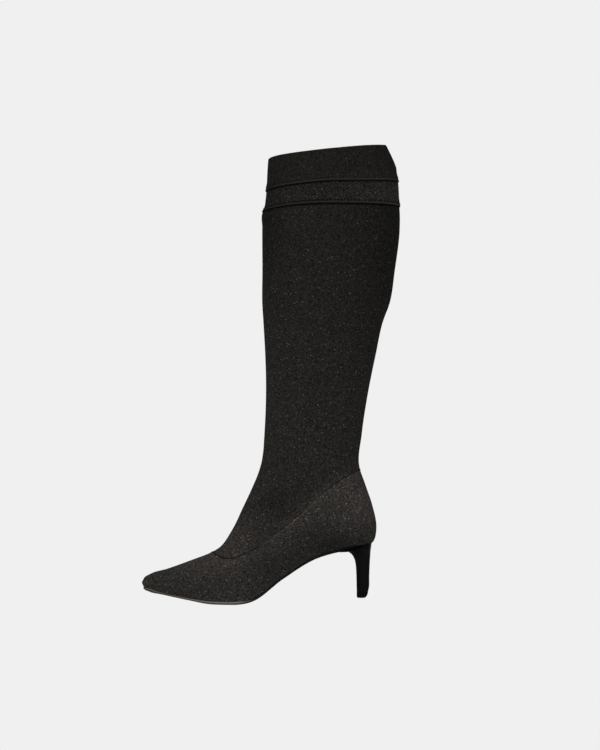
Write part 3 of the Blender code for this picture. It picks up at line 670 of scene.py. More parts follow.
def lay_flat(points, normals, middle):
    """Millimetres along and up the knit: x and z at the middle column, carried round by length."""
    step = np.diff(points, axis=1)
    facing = (normals[:, 1:] + normals[:, :-1]) / 2
    endwise = facing[..., 0] ** 2 / (facing[..., 0] ** 2 + facing[..., 2] ** 2 + TINY)
    flat = []
    for axis, share in ((0, endwise), (2, 1 - endwise)):
        way = np.copysign(np.hypot(step[..., axis], np.sqrt(share) * step[..., 1]), step[..., axis])
        run = np.insert(np.cumsum(way, axis=1), 0, 0.0, axis=1)
        flat.append(run + points[:, middle, None, axis] - run[:, middle, None])
    return np.stack(flat, -1)


def skin_grid(stations, angles, lift_at, wall_at):
    """Outer points, lining points and corner coordinates of a knit panel, from a grid on its outer side.

    lift_at and wall_at tell from the skin's points how far the outer face and the lining lie off them. The
    grid is repeated on the inner side.
    """
    middle = int(np.argmin(np.abs(angles[len(angles) // 2] - 90)))
    outer, inner, flats = [], [], []
    for mirrored in (False, True):
        turned = 360 - angles if mirrored else angles
        bare = skin(stations, turned)
        normal = skin_normal(stations, turned)
        outer.append(bare + lift_at(bare)[..., None] * normal)
        inner.append(bare + wall_at(bare)[..., None] * normal)
        flats.append(lay_flat(bare, normal, middle) + (INNER_SHIFT if mirrored else 0.0))
    corners = [corner_values(flats[0]), corner_values(flats[1][:, ::-1])]
    return all_round(*outer), all_round(*inner), np.concatenate(corners, axis=1)


def walled(groups, count):
    """Faces, corner coordinates and material slots of a wall: outer face, lining, and rim at open edges.

    groups are pairs of faces and corner coordinates; the lining's points follow the outer face's count.
    """
    starts = np.concatenate([faces.ravel() for faces, _ in groups])
    ends = np.concatenate([np.roll(faces, -1, axis=1).ravel() for faces, _ in groups])
    uv_starts = np.concatenate([uv.reshape(-1, 2) for _, uv in groups])
    uv_ends = np.concatenate([np.roll(uv, -1, axis=1).reshape(-1, 2) for _, uv in groups])
    free = ~np.isin(ends * count + starts, starts * count + ends)
    a, b = starts[free], ends[free]
    rim = np.stack([b, a, a + count, b + count], 1)
    rim_uv = np.stack([uv_ends[free], uv_starts[free], uv_starts[free], uv_ends[free]], 1)
    lining = [(faces[:, ::-1] + count, uv[:, ::-1]) for faces, uv in groups]
    every = [*groups, *lining, (rim, rim_uv)]
    shown = sum(len(faces) for faces, _ in groups)
    faces = [face for part, _ in every for face in part.tolist()]
    slots = np.where(np.arange(len(faces)) < shown, 0, 1)
    return faces, np.concatenate([uv.reshape(-1, 2) for _, uv in every]), slots


def toe_closed(grid, dome):
    """Rows of points with rings before them that close in on the toe's tip, and the tip's point last."""
    centre = grid[0].mean(axis=0)
    forward = np.array([-dome, 0, 0])
    rings = [centre + f * (grid[0] - centre) + (1 - f * f) * forward for f in TOE_RINGS]
    return np.concatenate([*rings, *grid, [centre + forward]])


def build_foot(materials):
    """Foot panel: vamp, sides and counter in one, with a lip along its seam."""
    seam_s, seam_a = seam_line(0.0, 0.0)
    angles = even_angles(STATIONS[BALL_ROW])

    def place(share):
        return share * seam_s, angles + share**SEAM_TURN * (seam_a - angles)

    way = lengths(np.array([skin(*place(share)) for share in np.linspace(0, 1, PANEL_SAMPLES)]))[-1]
    regular = (np.arange(FOOT_ROWS + 1) / FOOT_ROWS)[:, None] ** ROW_CROWDING
    close = np.array(SEAM_ROWS[::-1])[:, None]
    stations, turned = place(np.concatenate([regular * (1 - SEAM_MARGIN / way), 1 - close / way]))

    def lift_at(points):
        left = seam_way(points)
        return LIP_HEIGHT * bell(left - LIP_PLACE, LIP_WIDTH) + edge_roll(left, EDGE_ROUND)

    def wall_at(_):
        row = section_at(stations)
        tall = np.linalg.norm(row[..., :2] - row[..., 2:4], axis=-1)
        room = np.minimum(row[..., LATERAL], tall / 2)
        return -np.minimum(UPPER_WALL, TOE_WALL * room)

    grid, inside, corners = skin_grid(stations, turned, lift_at, wall_at)
    rows, columns = grid.shape[:2]
    x, z = grid[..., 0], grid[..., 2]
    start, end = (TOE_X + share * FOOT_LENGTH for share in (MARGIN_START, MARGIN_END))
    under = np.abs(all_round(turned, 360 - turned) - 180) < MARGIN_ANGLE
    under &= (x > start) & (x < end) & (z < MARGIN_HEIGHT * HEEL_HEIGHT)
    points, lining = toe_closed(grid, TOE_DOME), toe_closed(inside, 0.0)
    tip_rows = len(TOE_RINGS)
    tip_count = tip_rows * columns
    quads = strips(tip_rows + rows, columns)
    quad_uv = np.concatenate([points[quads[:tip_rows]][..., 1:], corners])
    closed = np.ones(quads.shape[:2], bool)
    closed[tip_rows:] = ~under.reshape(-1)[quads[tip_rows:] - tip_count].all(-1)
    k = np.arange(columns)
    fan = np.stack([np.full(columns, len(points) - 1), (k + 1) % columns, k], -1)
    groups = [(quads[closed], quad_uv[closed]), (fan, points[fan][..., 1:])]
    faces, uv, slots = walled(groups, len(points))
    # painted light and shade: lighter towards the seam, painted shade on the seam's open line, a painted
    # highlight by its middle, and the painted light zones
    left = seam_way(grid)
    ridge = SEAM_RIDGE * bell(x - SEAM_RIDGE_X, SEAM_RIDGE_REACH)
    light = 1 + SEAM_GLOW * bell(left, SEAM_GLOW_WIDTH)
    light *= 1 - SEAM_SHADE * (1 - seam_closed(x)) * bell(left, SEAM_SHADE_WIDTH)
    light *= 1 + ridge * bell(left - SEAM_RIDGE_PLACE, SEAM_RIDGE_WIDTH)
    light *= painted_light_gain(FOOT_PAINTED_LIGHT, grid)
    shade = np.concatenate([np.ones(tip_count), light.reshape(-1), np.ones(1 + len(points))])
    wall = np.concatenate([points, lining])
    make_piece("foot_panel", wall, faces, materials, "upper", uv, shade, WALL_EDGE, slots)


def leg_rows():
    """Stations, angles and distances from the seam of the shaft's rows, laid out in the side view."""
    seam_s, seam_a = seam_line(SEAM_GAP, SEAM_SHUT)
    angles = even_angles(STATIONS[CALF_ROW])
    shoulder_s = height_station(angles, band_line(angles) - SHOULDER)
    shares = (np.arange(LEG_ROWS + 1) / LEG_ROWS) ** ROW_CROWDING
    fine = np.linspace(0, 1, EDGE_SAMPLES)

    def edge(column):
        stations = seam_s[column] + fine * (shoulder_s[column] - seam_s[column])
        found = spaced(stations, np.full_like(fine, angles[column]), shares)
        return skin(*found)[:, [0, 2]]

    low, high = skin(seam_s, seam_a)[:, [0, 2]], skin(shoulder_s, angles)[:, [0, 2]]
    t = shares[:, None, None]
    straight = (1 - t) * low + t * high
    backward = ((1 - np.cos(np.radians(angles))) / 2)[None, :, None]
    from_front = (edge(0) - straight[:, 0])[:, None]
    from_back = (edge(-1) - straight[:, -1])[:, None]
    seen = straight + (1 - backward) * from_front + backward * from_back
    first = np.linalg.norm(seen[1] - seen[0], axis=-1)
    ways = [way for way in SEAM_ROWS if way < ROW_ROOM * first.min()]
    close = [seen[0] + (way / first)[:, None] * (seen[1] - seen[0]) for way in ways]
    seen = np.concatenate([close, seen[1:]])
    stations, turned = locate(seen[..., 0], seen[..., 1])
    stations[0], turned[0] = seam_s, seam_a
    stations[-1], turned[-1] = shoulder_s, angles
    turned[:, 0], turned[:, -1] = 0.0, 180.0
    for column, angle in ((0, 0.0), (-1, 180.0)):
        wanted = seen[:, column, 1]
        low, high = seam_s[column] - PAST_TOP, shoulder_s[column] + PAST_TOP
        stations[:, column] = bisect(lambda s: skin(s, angle)[..., 2] > wanted, low, high)
    left = np.full(stations.shape, FAR)
    left[: len(ways)] = np.array(ways)[:, None]
    return stations, turned, left


def build_shaft(materials):
    """Knitted tube from the seam to the collar."""
    stations, turned, left = leg_rows()
    angles = turned[-1]
    band, cuff, collar = band_line(angles), cuff_line(angles), collar_height(angles)
    top_rows = [*(band + rise for rise in SHAFT_TOP_ROWS), cuff, cuff + CUFF_LAP, collar - SHAFT_DROP]
    heights = np.array(top_rows)
    stations = np.concatenate([stations, height_station(angles[None], heights)])
    turned = np.concatenate([turned, np.tile(angles, (len(heights), 1))])
    left = np.concatenate([left, np.full(heights.shape, FAR)])

    def lift_at(points):
        return hollow_lift(points[..., 0], points[..., 2]) + edge_roll(left, EDGE_ROUND)

    def wall_at(points):
        return hollow_lift(points[..., 0], points[..., 2]) - SHAFT_WALL

    grid, inside, corners = skin_grid(stations, turned, lift_at, wall_at)
    near = grid[:, : HALF_COLUMNS + 1]
    x = near[..., 0]
    # painted light and shade: painted shade on the seam's open line and under the band's hem, lighter
    # towards the seam at the back, and the painted light zones
    below_band = np.clip(band_line(turned) - near[..., 2], 0, None)
    light = 1 - SEAM_SHADE * (1 - seam_closed(x)) * bell(left, SEAM_SHADE_WIDTH)
    light *= 1 + SHAFT_GLOW * eased(x, SHAFT_GLOW_RISE) * bell(seam_way(near), SHAFT_GLOW_WIDTH)
    light *= 1 - HEM_SHADE * bell(below_band, HEM_SHADE_WIDTH)
    light = all_round(light, light) * painted_light_gain(SHAFT_PAINTED_LIGHT, grid)
    quads = strips(*grid.shape[:2]).reshape(-1, 4)
    faces, uv, slots = walled([(quads, corners.reshape(-1, 4, 2))], light.size)
    wall = np.concatenate([grid.reshape(-1, 3), inside.reshape(-1, 3)])
    shade = np.append(light.ravel(), np.ones(light.size))
    make_piece("shaft_tube", wall, faces, materials, "shaft", uv, shade, WALL_EDGE, slots)


def ring_piece(name, parts, hem_row, shadow, materials, node):
    """A closed band round the shaft from the points (line, rise, lift) of its section.

    line(angles) is the height that rise adds to. The rolled hem, in the second material, starts at hem_row.
    """
    angles = np.linspace(0, 360, RING_COLUMNS, endpoint=False)
    heights = np.array([line(angles) + rise for line, rise, _ in parts])
    lifts = np.array([lift for _, _, lift in parts])[:, None, None]
    stations = height_station(angles[None], heights)
    turned = np.broadcast_to(angles, heights.shape)
    points = skin(stations, turned) + lifts * skin_normal(stations, turned)
    rows = len(points)
    faces = strips(rows + 1, RING_COLUMNS) % (rows * RING_COLUMNS)
    closed = np.pad(points, ((0, 1), (0, 1), (0, 0)), mode="wrap")
    round_way, up_way = lengths(closed, axis=1), lengths(closed, axis=0)
    uv = corner_values(np.stack([np.broadcast_to(round_way.mean(0), up_way.shape), up_way], -1))
    # painted shade under the roll and in the groove over it, the roll painted lighter, times the painted
    # shadow and the painted light zones
    place = np.arange(rows) - hem_row
    hem = (place >= 0) & (place < HEM_POINTS)
    light = np.where(place < HEM_UNDERSIDE, HEM_UNDER, HEM_LIGHT)
    light = np.where(place < HEM_POINTS, light, np.where(place == HEM_POINTS, GROOVE_SHADE, 1.0)) * shadow
    shade = light[:, None] * painted_light_gain(RING_PAINTED_LIGHT, points)
    slots = np.repeat(np.where(hem, 1, 0), RING_COLUMNS)
    points, quads, uv = points.reshape(-1, 3), faces.reshape(-1, 4), uv.reshape(-1, 2)
    make_piece(name, points, quads, materials, node, uv, shade, slots=slots)


def hem_roll(line, lift):
    """Points round a rolled hem on a face with the given lift, from its inner lower side to its top."""
    centre = lift + HEM_ROLL - HEM_RADIUS
    turns = np.radians(np.linspace(*HEM_TURN, HEM_POINTS))
    return [(line, HEM_RISE + HEM_RADIUS * math.sin(t), centre + HEM_RADIUS * math.cos(t)) for t in turns]


def build_band(materials):
    under = BAND_LIFT - LAYER
    behind = [(band_line, BAND_FOOT, under)]
    shown = behind + hem_roll(band_line, BAND_LIFT)
    shown += [(band_line, rise, BAND_LIFT - depth) for rise, depth in BAND_FACE]
    shaded = [(cuff_line, -below, BAND_LIFT) for below in CUFF_SHADE_ROWS]
    hidden = [(cuff_line, BAND_TUCK, lift) for lift in (BAND_LIFT, under)]
    hidden.append((band_line, BAND_INNER_RISE, under))
    below_cuff = np.append(CUFF_SHADE_ROWS, np.zeros(len(hidden)))
    shadow = np.append(np.ones(len(shown)), 1 - CUFF_SHADE * bell(below_cuff, HEM_SHADE_WIDTH))
    parts = shown + shaded + hidden
    ring_piece("top_band", parts, len(behind), shadow, materials, "shaft_band")


def build_cuff(materials):
    lap, under = CUFF_LIFT - LAYER, BAND_LIFT - LAYER
    lapped = [(CUFF_LAP, under), (CUFF_LAP - LAP_SLOPE, lap), (CUFF_FOOT, lap)]
    behind = [(cuff_line, rise, lift) for rise, lift in lapped]
    parts = behind + hem_roll(cuff_line, CUFF_LIFT)
    parts += [(cuff_line, rise, CUFF_LIFT - depth) for rise, depth in CUFF_FACE]
    for rise in CUFF_SETTLE_ROWS:
        parts.append((cuff_line, rise, CUFF_LIFT + (BAND_LIFT - CUFF_LIFT) * eased(rise, CUFF_SETTLE)))
    parts += [(collar_height, rise, BAND_LIFT) for rise in COLLAR_ROWS]
    inside = -SHAFT_WALL - RIM_FOLD
    middle, half = (BAND_LIFT + inside) / 2, (BAND_LIFT - inside) / 2
    for turn in np.radians(np.linspace(*RIM_TURN, RIM_POINTS)):
        parts.append((collar_height, RIM_HEIGHT * (math.sin(turn) - 1), middle + half * math.cos(turn)))
    parts += [(collar_height, rise, inside + depth) for rise, depth in TURNED_EDGE]
    parts += [(collar_height, RIM_INNER, 0.0), (collar_height, RIM_BACK, under)]
    ring_piece("ribbed_cuff", parts, len(behind), 1.0, materials, "top_cuff")


def build_stitches(materials):
    """Short thread stitches over the band's lower hem."""
    fine = np.linspace(0, 360, STITCH_SAMPLES)
    way = lengths(skin(height_station(fine, band_line(fine) + STITCH_RISE), fine))
    count = int(round(way[-1] / STITCH_PITCH))
    spread = np.linspace(-1, 1, STITCH_RINGS)
    arch = np.sqrt(np.clip(1 - spread**2, STITCH_END, 1))
    radii = STITCH_RADIUS * (STITCH_TAPER + (1 - STITCH_TAPER) * arch)
    turn = np.linspace(0, 2 * math.pi, STITCH_AROUND, endpoint=False)[None, :, None]
    points, faces = [], []
    for i in range(count):
        angle = np.interp((i + 0.5) * way[-1] / count + STITCH_LENGTH / 2 * spread, way, fine)
        station = height_station(angle, band_line(angle) + STITCH_RISE)
        normal = skin_normal(station, angle)
        core = skin(station, angle) + (BAND_LIFT - STITCH_SINK + STITCH_ARCH * arch)[:, None] * normal
        up = np.cross(np.gradient(core, axis=0), normal)
        up /= np.linalg.norm(up, axis=-1, keepdims=True)
        rounds = np.cos(turn) * normal[:, None] + np.sin(turn) * up[:, None]
        first = i * STITCH_RINGS * STITCH_AROUND
        last = first + (STITCH_RINGS - 1) * STITCH_AROUND
        points.append((core[:, None] + radii[:, None, None] * rounds).reshape(-1, 3))
        faces += (strips(STITCH_RINGS, STITCH_AROUND).reshape(-1, 4) + first).tolist()
        faces.append((first + np.arange(STITCH_AROUND)[::-1]).tolist())
        faces.append((last + np.arange(STITCH_AROUND)).tolist())
    make_piece("band_stitches", np.concatenate(points), faces, materials)


def across(station, cover, shares):
    """Points a gap below the upper's underside; shares run across it, from the outer edge to the inner."""
    floor = section_at(station)[..., FLOOR]
    bend = np.degrees(np.arcsin((cover[:, None] * np.abs(shares)) ** (floor[:, None] / 2)))
    angle = 180 + np.sign(shares) * bend
    stations = np.broadcast_to(station[:, None], angle.shape)
    return skin(stations, angle) + SOLE_GAP * skin_normal(stations, angle)


def build_outsole(materials):
    """Sole with a rounded tread edge. Its corner coordinates are the way along it and height marks."""
    first, last = SOLE[0].along, SOLE[-1].along
    share = np.linspace(0, 1, SOLE_RINGS + 1)
    along = first + (share - SOLE_CROWDING * np.sin(2 * math.pi * share)) * (last - first)
    shares = np.linspace(-1, 1, SOLE_ACROSS)
    top = across(base_station(TOE_X + along * FOOT_LENGTH), sole_cover(along), shares)
    outer, centre, inner = top[:, 0], top[:, SOLE_ACROSS // 2], top[:, -1]
    tread = np.maximum(0.0, centre[:, 2] - sole_wall(along))
    middle = (outer[:, 1] + inner[:, 1]) / 2
    walls = []
    for edge in (inner, outer):
        inward = np.sign(middle - edge[:, 1])
        rows = []
        for v in SOLE_WALL_ROWS:
            rise = tread + SOLE_EDGE_ROUND + v * (edge[:, 2] - tread - SOLE_EDGE_ROUND)
            bulge = SOLE_BULGE * np.sin(math.pi * v)
            rows.append((np.stack([edge[:, 0], edge[:, 1] - inward * bulge, rise], -1), v))
        for turn in np.radians(SOLE_ROUND_TURNS):
            inset = SOLE_EDGE_ROUND * (1 - math.cos(turn))
            rise = tread + SOLE_EDGE_ROUND * (1 - math.sin(turn))
            rows.append((np.stack([edge[:, 0], edge[:, 1] + inward * inset, rise], -1), EDGE_MARK))
        walls.append(rows)
    flat = []
    for s in np.linspace(TREAD_REACH, -TREAD_REACH, TREAD_ROWS):
        y = middle + s * (np.abs(inner[:, 1] - middle) - SOLE_EDGE_ROUND)
        flat.append((np.stack([centre[:, 0], y, tread], -1), TREAD_MARK))
    loop = [(top[:, i], TOP_MARK) for i in range(SOLE_ACROSS)] + walls[0] + flat + walls[1][::-1]
    grid = np.stack([points for points, _ in loop], 1)
    marks = np.array([mark for _, mark in loop])
    rows, columns = grid.shape[:2]
    v = np.broadcast_to(np.append(marks, marks[0]), (rows, columns + 1))
    u = np.broadcast_to((along * FOOT_LENGTH)[:, None], (rows, columns + 1))
    caps = [list(range(columns))[::-1], list(range((rows - 1) * columns, rows * columns))]
    cap_uv = [np.full((columns, 2), (end * FOOT_LENGTH, CAP_MARK)) for end in (first, last)]
    uv = np.concatenate([corner_values(np.stack([u, v], -1)).reshape(-1, 2), *cap_uv])
    faces = strips(rows, columns).reshape(-1, 4).tolist() + caps
    make_piece("sole", grid.reshape(-1, 3), faces, materials, "outsole", uv, sharp=SHARP_EDGE)


def tread_height(x):
    base = skin(base_station(x), 180.0)
    return np.maximum(0.0, base[..., 2] - SOLE_GAP - sole_wall((x - TOE_X) / FOOT_LENGTH))


def heel_ring(front_x, front_z, back_x, back_z, half):
    """Closed outline of the heel at one level, from the middle of the breast round the outer side."""
    turn = np.linspace(0, 2 * math.pi, HEEL_AROUND, endpoint=False)
    forward, out = np.cos(turn), np.sin(turn)
    power = 2 / np.where(forward > 0, HEEL_BREAST_SQUARE, HEEL_BACK_SQUARE)
    middle, reach = (front_x + back_x) / 2, (back_x - front_x) / 2
    x = middle - reach * signed_power(forward, power)
    share = (x - front_x) / (2 * reach)
    return np.stack([x, -half * signed_power(out, power), front_z + share * (back_z - front_z)], -1)


def ladder_cap(first):
    """Faces that close a heel ring, whose points k and HEEL_AROUND - k lie opposite each other."""
    half = HEEL_AROUND // 2
    end = first + HEEL_AROUND
    faces = [[first, first + 1, end - 1]]
    for k in range(1, half - 1):
        faces.append([first + k, first + k + 1, end - k - 1, end - k])
    faces.append([first + half - 1, first + half, first + half + 1])
    return faces


def turned_out(faces):
    return [list(f)[::-1] for f in faces]


def ring_stack(rings):
    """Points and faces of a solid from heel rings, with its first and last ring closed."""
    points = np.concatenate(rings)
    faces = strips(len(rings), HEEL_AROUND).reshape(-1, 4).tolist()
    return points, faces + turned_out(ladder_cap(0)) + ladder_cap(len(points) - HEEL_AROUND)


def build_heel(materials):
    """Slim heel with a concave breast and a thin wing forward under the seat."""
    table = np.array(HEEL)
    moves = np.diff(table, axis=0)
    steps = np.hypot(moves[:, 2], moves[:, 3]) + BREAST_WEIGHT * np.hypot(moves[:, 0], moves[:, 1])
    stations = np.concatenate([[0.0], np.cumsum(steps)])
    level_at = smooth_curve(stations, table)
    rank = smooth_curve(stations, np.arange(len(HEEL), dtype=float))
    rings = []
    for station in np.linspace(0, stations[-1], HEEL_LEVELS):
        ring = heel_ring(*level_at(station))
        below = GAP + SEAT_STEP * (len(HEEL) - 1 - float(np.clip(rank(station), 0, len(HEEL) - 1)))
        cup = SEAT_CUP * eased(ring[:, 0], (SEAT_CUP_START, SEAT_CUP_FULL))
        ring[:, 2] = np.minimum(ring[:, 2], tread_height(ring[:, 0]) - below + cup)
        rings.append(ring)
    middle = rings[-1].mean(axis=0)
    inside = middle + SEAT_RIM * (rings[-1] - middle)
    inside[:, 2] = tread_height(inside[:, 0]) - GAP
    points, faces = ring_stack([*rings, inside])
    shade = painted_light_gain(HEEL_PAINTED_LIGHT, points)
    faces = turned_out(faces)
    make_piece("heel_block", points, faces, materials, "heel", shade=shade, sharp=SHARP_EDGE)


def build_tip(materials):
    """Top piece under the heel, its back edge rounded forwards."""
    base = HEEL[0]
    rings = []
    for share in np.linspace(1, 0, TIP_LEVELS):
        height = TIP_THICKNESS * share
        back = base.back_x - TIP_REAR_ROUND * (1 - share) ** 2
        rings.append(heel_ring(base.front_x, height, back, height, base.half))
    points, faces = ring_stack(rings)
    make_piece("heel_top_piece", points, faces, materials, "heel_tip", sharp=SHARP_EDGE)


class Shader:
    """A node material with its Principled shader, and short ways to add nodes."""

    def __init__(self, name, roughness, specular):
        self.material = bpy.data.materials.new(name)
        self.material.use_nodes = True
        self.tree = self.material.node_tree
        self.surface = self.tree.nodes["Principled BSDF"]
        self.set("Roughness", roughness)
        self.set("Specular IOR Level", specular)

    def put(self, socket, value):
        if isinstance(value, bpy.types.NodeSocket):
            self.tree.links.new(value, socket)
        else:
            socket.default_value = value

    def set(self, name, value):
        self.put(self.surface.inputs[name], value)

    def node(self, kind, inputs=(), **settings):
        made = self.tree.nodes.new(kind)
        for key, value in settings.items():
            setattr(made, key, value)
        for key, value in dict(inputs).items():
            self.put(made.inputs[key], value)
        return made

    def math(self, operation, a, b=0.0):
        return self.node("ShaderNodeMath", {0: a, 1: b}, operation=operation).outputs[0]

    def times(self, first, *others):
        for value in others:
            first = self.math("MULTIPLY", first, value)
        return first

    def total(self, first, *others):
        for value in others:
            first = self.math("ADD", first, value)
        return first

    def wave(self, turns):
        return self.math("COSINE", self.math("MULTIPLY", turns, 2 * math.pi))

    def mottled(self, value, strength):
        """1, varied by a random value from 0 to 1."""
        return self.total(1.0, self.times(self.math("SUBTRACT", value, 0.5), strength))

    def vector(self, operation, a, b):
        return self.node("ShaderNodeVectorMath", {0: a, 1: b}, operation=operation).outputs[0]

    def scaled(self, colour, gain):
        return self.node("ShaderNodeVectorMath", {0: colour, "Scale": gain}, operation="SCALE").outputs[0]

    def parts(self, vector):
        return self.node("ShaderNodeSeparateXYZ", {0: vector}).outputs

    def flat(self):
        """Millimetres along and up the piece."""
        return self.node("ShaderNodeUVMap", uv_map="flat").outputs[0]

    def place(self):
        """Place on the boot in metres."""
        return self.node("ShaderNodeTexCoord").outputs["Object"]

    def spread(self, value, low, high, from_value, to_value):
        """Maps value from low..high to from_value..to_value, softly and held at the ends."""
        keys = ("Value", "From Min", "From Max", "To Min", "To Max")
        inputs = dict(zip(keys, (value, low, high, from_value, to_value)))
        return self.node("ShaderNodeMapRange", inputs, interpolation_type="SMOOTHSTEP").outputs[0]

    def cells(self, size):
        """Uneven cells of about the given size in millimetres, each with a random colour."""
        inputs = {"Vector": self.place(), "Scale": 1 / (size * MM)}
        return self.node("ShaderNodeTexVoronoi", inputs).outputs["Color"]

    def noise(self, size, detail=2.0):
        """Soft noise of about the given size in millimetres."""
        inputs = {"Vector": self.place(), "Scale": 1 / (size * MM), "Detail": detail}
        return self.node("ShaderNodeTexNoise", inputs)

    def rosy(self, colour, strength):
        """A tint about white from a random colour: towards pink, violet, blue or amber."""
        varied = self.vector("MULTIPLY", self.vector("SUBTRACT", colour, (0.5, 0.5, 0.5)), (1.0, 0.0, 1.0))
        return self.vector("ADD", self.scaled(varied, strength), (1.0, 1.0, 1.0))

    # painted light and shade, kept per point
    def shade(self):
        return self.node("ShaderNodeAttribute", attribute_name="shade").outputs["Fac"]

    def bump(self, height, strength, depth):
        made = self.node("ShaderNodeBump", {"Height": height, "Strength": strength, "Distance": depth * MM})
        self.set("Normal", made.outputs[0])


def knit_shader(name, knit, rib=None, height_painted_light=None):
    """Black knit: a lattice of stitches, uneven yarn, rare painted glints of metallic yarn, and painted
    light and shade.
    """
    s = Shader(name, KNIT_ROUGHNESS, KNIT_SPECULAR)
    u, v, _ = s.parts(s.flat())
    along, up = s.math("DIVIDE", u, knit.wale), s.math("DIVIDE", v, knit.course)
    stitch = s.times(s.total(s.wave(s.total(along, up)), s.wave(s.math("SUBTRACT", along, up))), 0.5)
    yarn = s.cells(YARN_CELL)
    grain, luck, _ = s.parts(yarn)
    gain = s.total(s.mottled(grain, knit.grain), s.times(stitch, knit.lattice))
    height = stitch
    if rib:
        ribs = s.wave(s.math("DIVIDE", u, rib))
        gain = s.total(gain, s.times(ribs, RIB_CONTRAST))
        height = s.total(s.times(stitch, RIB_STITCH), ribs)
    gain = s.math("MAXIMUM", gain, DARKEST_YARN)
    # glints of metallic yarn, painted into the base colour
    rare = s.math("MAXIMUM", s.math("SUBTRACT", luck, 1 - knit.glint_share), 0.0)
    rare = s.math("DIVIDE", rare, knit.glint_share)
    glint = s.times(rare, rare, knit.glint)
    patches = s.rosy(s.noise(TINT_PATCH).outputs["Color"], TINT)
    tint = s.vector("MULTIPLY", patches, s.rosy(yarn, knit.tint))
    mixed = s.vector("ADD", s.scaled(tint, gain), s.scaled(s.rosy(yarn, GLINT_TINT), glint))
    # painted light and shade from the shade attribute, warmer where lighter and bluer where darker
    shade = s.shade()
    red = s.math("POWER", shade, WARMING)
    blue = s.times(shade, s.math("POWER", s.math("MINIMUM", s.times(shade, COOL_BELOW), 1.0), COOLING))
    warm = s.node("ShaderNodeCombineXYZ", {0: red, 1: shade, 2: blue}).outputs[0]
    colour = s.vector("MULTIPLY", s.vector("MULTIPLY", mixed, knit.colour), warm)
    # painted light: lighter low on the shaft, darker towards its top
    if height_painted_light:
        colour = s.scaled(colour, s.spread(s.parts(s.place())[2], *height_painted_light))
    s.set("Base Color", colour)
    s.bump(height, *KNIT_BUMP)
    return s.material


def lining_shader():
    """Dark woven lining inside the boot."""
    s = Shader("lining_knit", LINING.roughness, LINING.specular)
    x, _, z = s.parts(s.place())
    weave = s.times(*(s.wave(s.times(way, WEAVE)) for way in (z, x)))
    grain = s.noise(LINING.grain).outputs[0]
    gain = s.total(s.mottled(grain, LINING.varied), s.times(weave, WEAVE_CONTRAST))
    s.set("Base Color", s.scaled(LINING.colour, gain))
    s.bump(weave, *LINING.bump)
    return s.material


def sole_shader():
    """Taupe edge, darker towards the floor, brown towards the toe and black behind the ball."""
    s = Shader("sole_edge_taupe", SOLE_EDGE.roughness, SOLE_EDGE.specular)
    u, v, _ = s.parts(s.flat())
    grain = s.noise(SOLE_EDGE.grain, FINE_DETAIL).outputs[0]
    ramp = s.node("ShaderNodeValToRGB", {0: s.math("DIVIDE", u, FOOT_LENGTH)})
    elements = ramp.color_ramp.elements
    while len(elements) < len(SOLE_COLOURS):
        elements.new(0.5)
    for element, (place, colour) in zip(elements, SOLE_COLOURS):
        element.position = place
        element.color = (*colour, 1.0)
    gain = s.times(s.spread(v, *SOLE_STRIPE), s.spread(v, *SOLE_UNDER), s.mottled(grain, SOLE_EDGE.varied))
    s.set("Base Color", s.scaled(ramp.outputs[0], gain))
    s.bump(grain, *SOLE_EDGE.bump)
    return s.material


def heel_shader():
    """Satin black moulding with a faint grain, painted shade darkest under the seat and a painted highlight
    down the stem.
    """
    s = Shader("heel_satin_black", HEEL_BLACK.roughness, HEEL_BLACK.specular)
    grain = s.noise(HEEL_BLACK.grain, FINE_DETAIL).outputs[0]
    clouds = s.noise(HEEL_CLOUDS).outputs[0]
    # painted light and shade from the shade attribute
    gain = s.times(s.mottled(clouds, HEEL_BLACK.varied), s.shade())
    s.set("Base Color", s.scaled(HEEL_BLACK.colour, gain))
    polish = s.times(s.math("SUBTRACT", grain, 0.5), HEEL_POLISH)
    s.set("Roughness", s.total(HEEL_BLACK.roughness, polish))
    s.bump(grain, *HEEL_BLACK.bump)
    return s.material


def grained_shader(name, surface):
    """A dark matt surface with fine grain: rubber or thread."""
    s = Shader(name, surface.roughness, surface.specular)
    grain = s.noise(surface.grain, FINE_DETAIL).outputs[0]
    s.set("Base Color", s.scaled(surface.colour, s.mottled(grain, surface.varied)))
    s.bump(grain, *surface.bump)
    return s.material


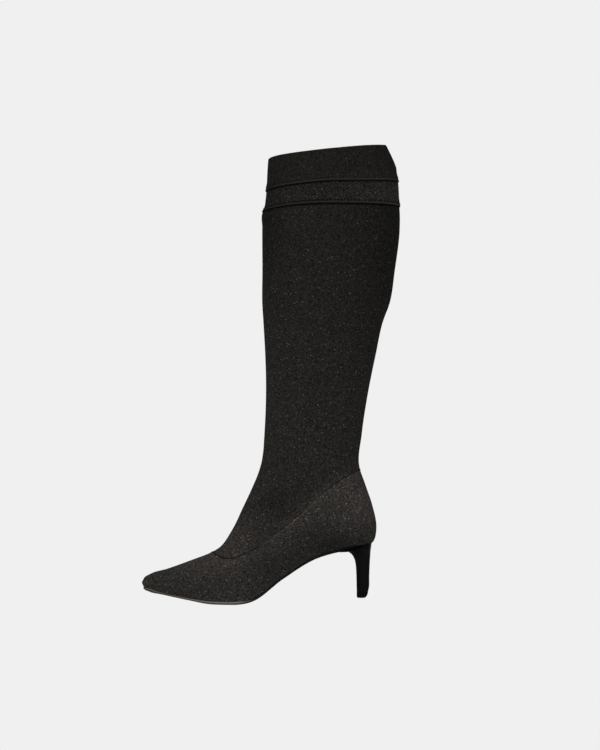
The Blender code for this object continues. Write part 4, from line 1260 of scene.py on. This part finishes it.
def build_boot():
    lining = lining_shader()
    build_foot([knit_shader("foot_twill_knit", FOOT_KNIT), lining])
    build_shaft([knit_shader("shaft_stretch_knit", SHAFT_KNIT, height_painted_light=SHAFT_HEIGHT_PAINTED_LIGHT), lining])
    hem = knit_shader("hem_yarn", HEM_KNIT)
    build_band([knit_shader("band_diamond_knit", BAND_KNIT), hem])
    build_cuff([knit_shader("cuff_rib_knit", CUFF_KNIT, rib=CUFF_RIB), hem])
    build_stitches([grained_shader("stitch_thread", THREAD)])
    build_outsole([sole_shader()])
    build_heel([heel_shader()])
    build_tip([grained_shader("tip_rubber_black", RUBBER)])
    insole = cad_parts["insole"]
    insole.data.materials.clear()
    insole.data.materials.append(lining)


def area_light(light):
    data = bpy.data.lights.new(light.name, "AREA")
    data.shape = "DISK"
    data.size = light.size
    data.energy = light.power
    lamp = bpy.data.objects.new(light.name, data)
    lamp.location = light.place
    lamp.rotation_euler = (Vector(light.target) - Vector(light.place)).to_track_quat("-Z", "Y").to_euler()
    bpy.context.scene.collection.objects.link(lamp)


def stage_plane(name, corners, material):
    mesh = bpy.data.meshes.new(name)
    mesh.from_pydata(corners, [], [(0, 1, 2, 3)])
    mesh.materials.append(material)
    plane = bpy.data.objects.new(name, mesh)
    bpy.context.scene.collection.objects.link(plane)
    plane.visible_glossy = False


def build_studio():
    scene = bpy.context.scene
    scene.view_settings.view_transform = "Standard"
    world = bpy.data.worlds.new("studio")
    world.use_nodes = True
    world.node_tree.nodes["Background"].inputs["Color"].default_value = (AMBIENT, AMBIENT, AMBIENT, 1.0)
    scene.world = world
    pale = Shader("pale_paper", PAPER_ROUGHNESS, 0.0)
    pale.set("Base Color", (0.0, 0.0, 0.0, 1.0))
    pale.set("Emission Color", (1.0, 1.0, 1.0, 1.0))
    pale.set("Emission Strength", BACKDROP)
    a, far, low = STAGE_HALF, BACKDROP_AT, FLOOR_AT
    stage_plane("floor", [(-a, -a, low), (a, -a, low), (a, far, low), (-a, far, low)], pale.material)
    stage_plane("backdrop", [(-a, far, low), (a, far, low), (a, far, a), (-a, far, a)], pale.material)
    for light in LIGHTS:
        area_light(light)
    data = bpy.data.cameras.new("camera")
    data.sensor_fit = "VERTICAL"
    data.sensor_height = SENSOR_HEIGHT
    data.lens = SENSOR_HEIGHT * -CAMERA_AT[1] / VIEW_HEIGHT
    data.shift_y = (HORIZON_ROW - PICTURE_HEIGHT / 2) / PICTURE_HEIGHT
    camera = bpy.data.objects.new("camera", data)
    camera.location = CAMERA_AT
    camera.rotation_euler = (math.pi / 2, 0, 0)
    scene.collection.objects.link(camera)
    scene.camera = camera


build_boot()
build_studio()
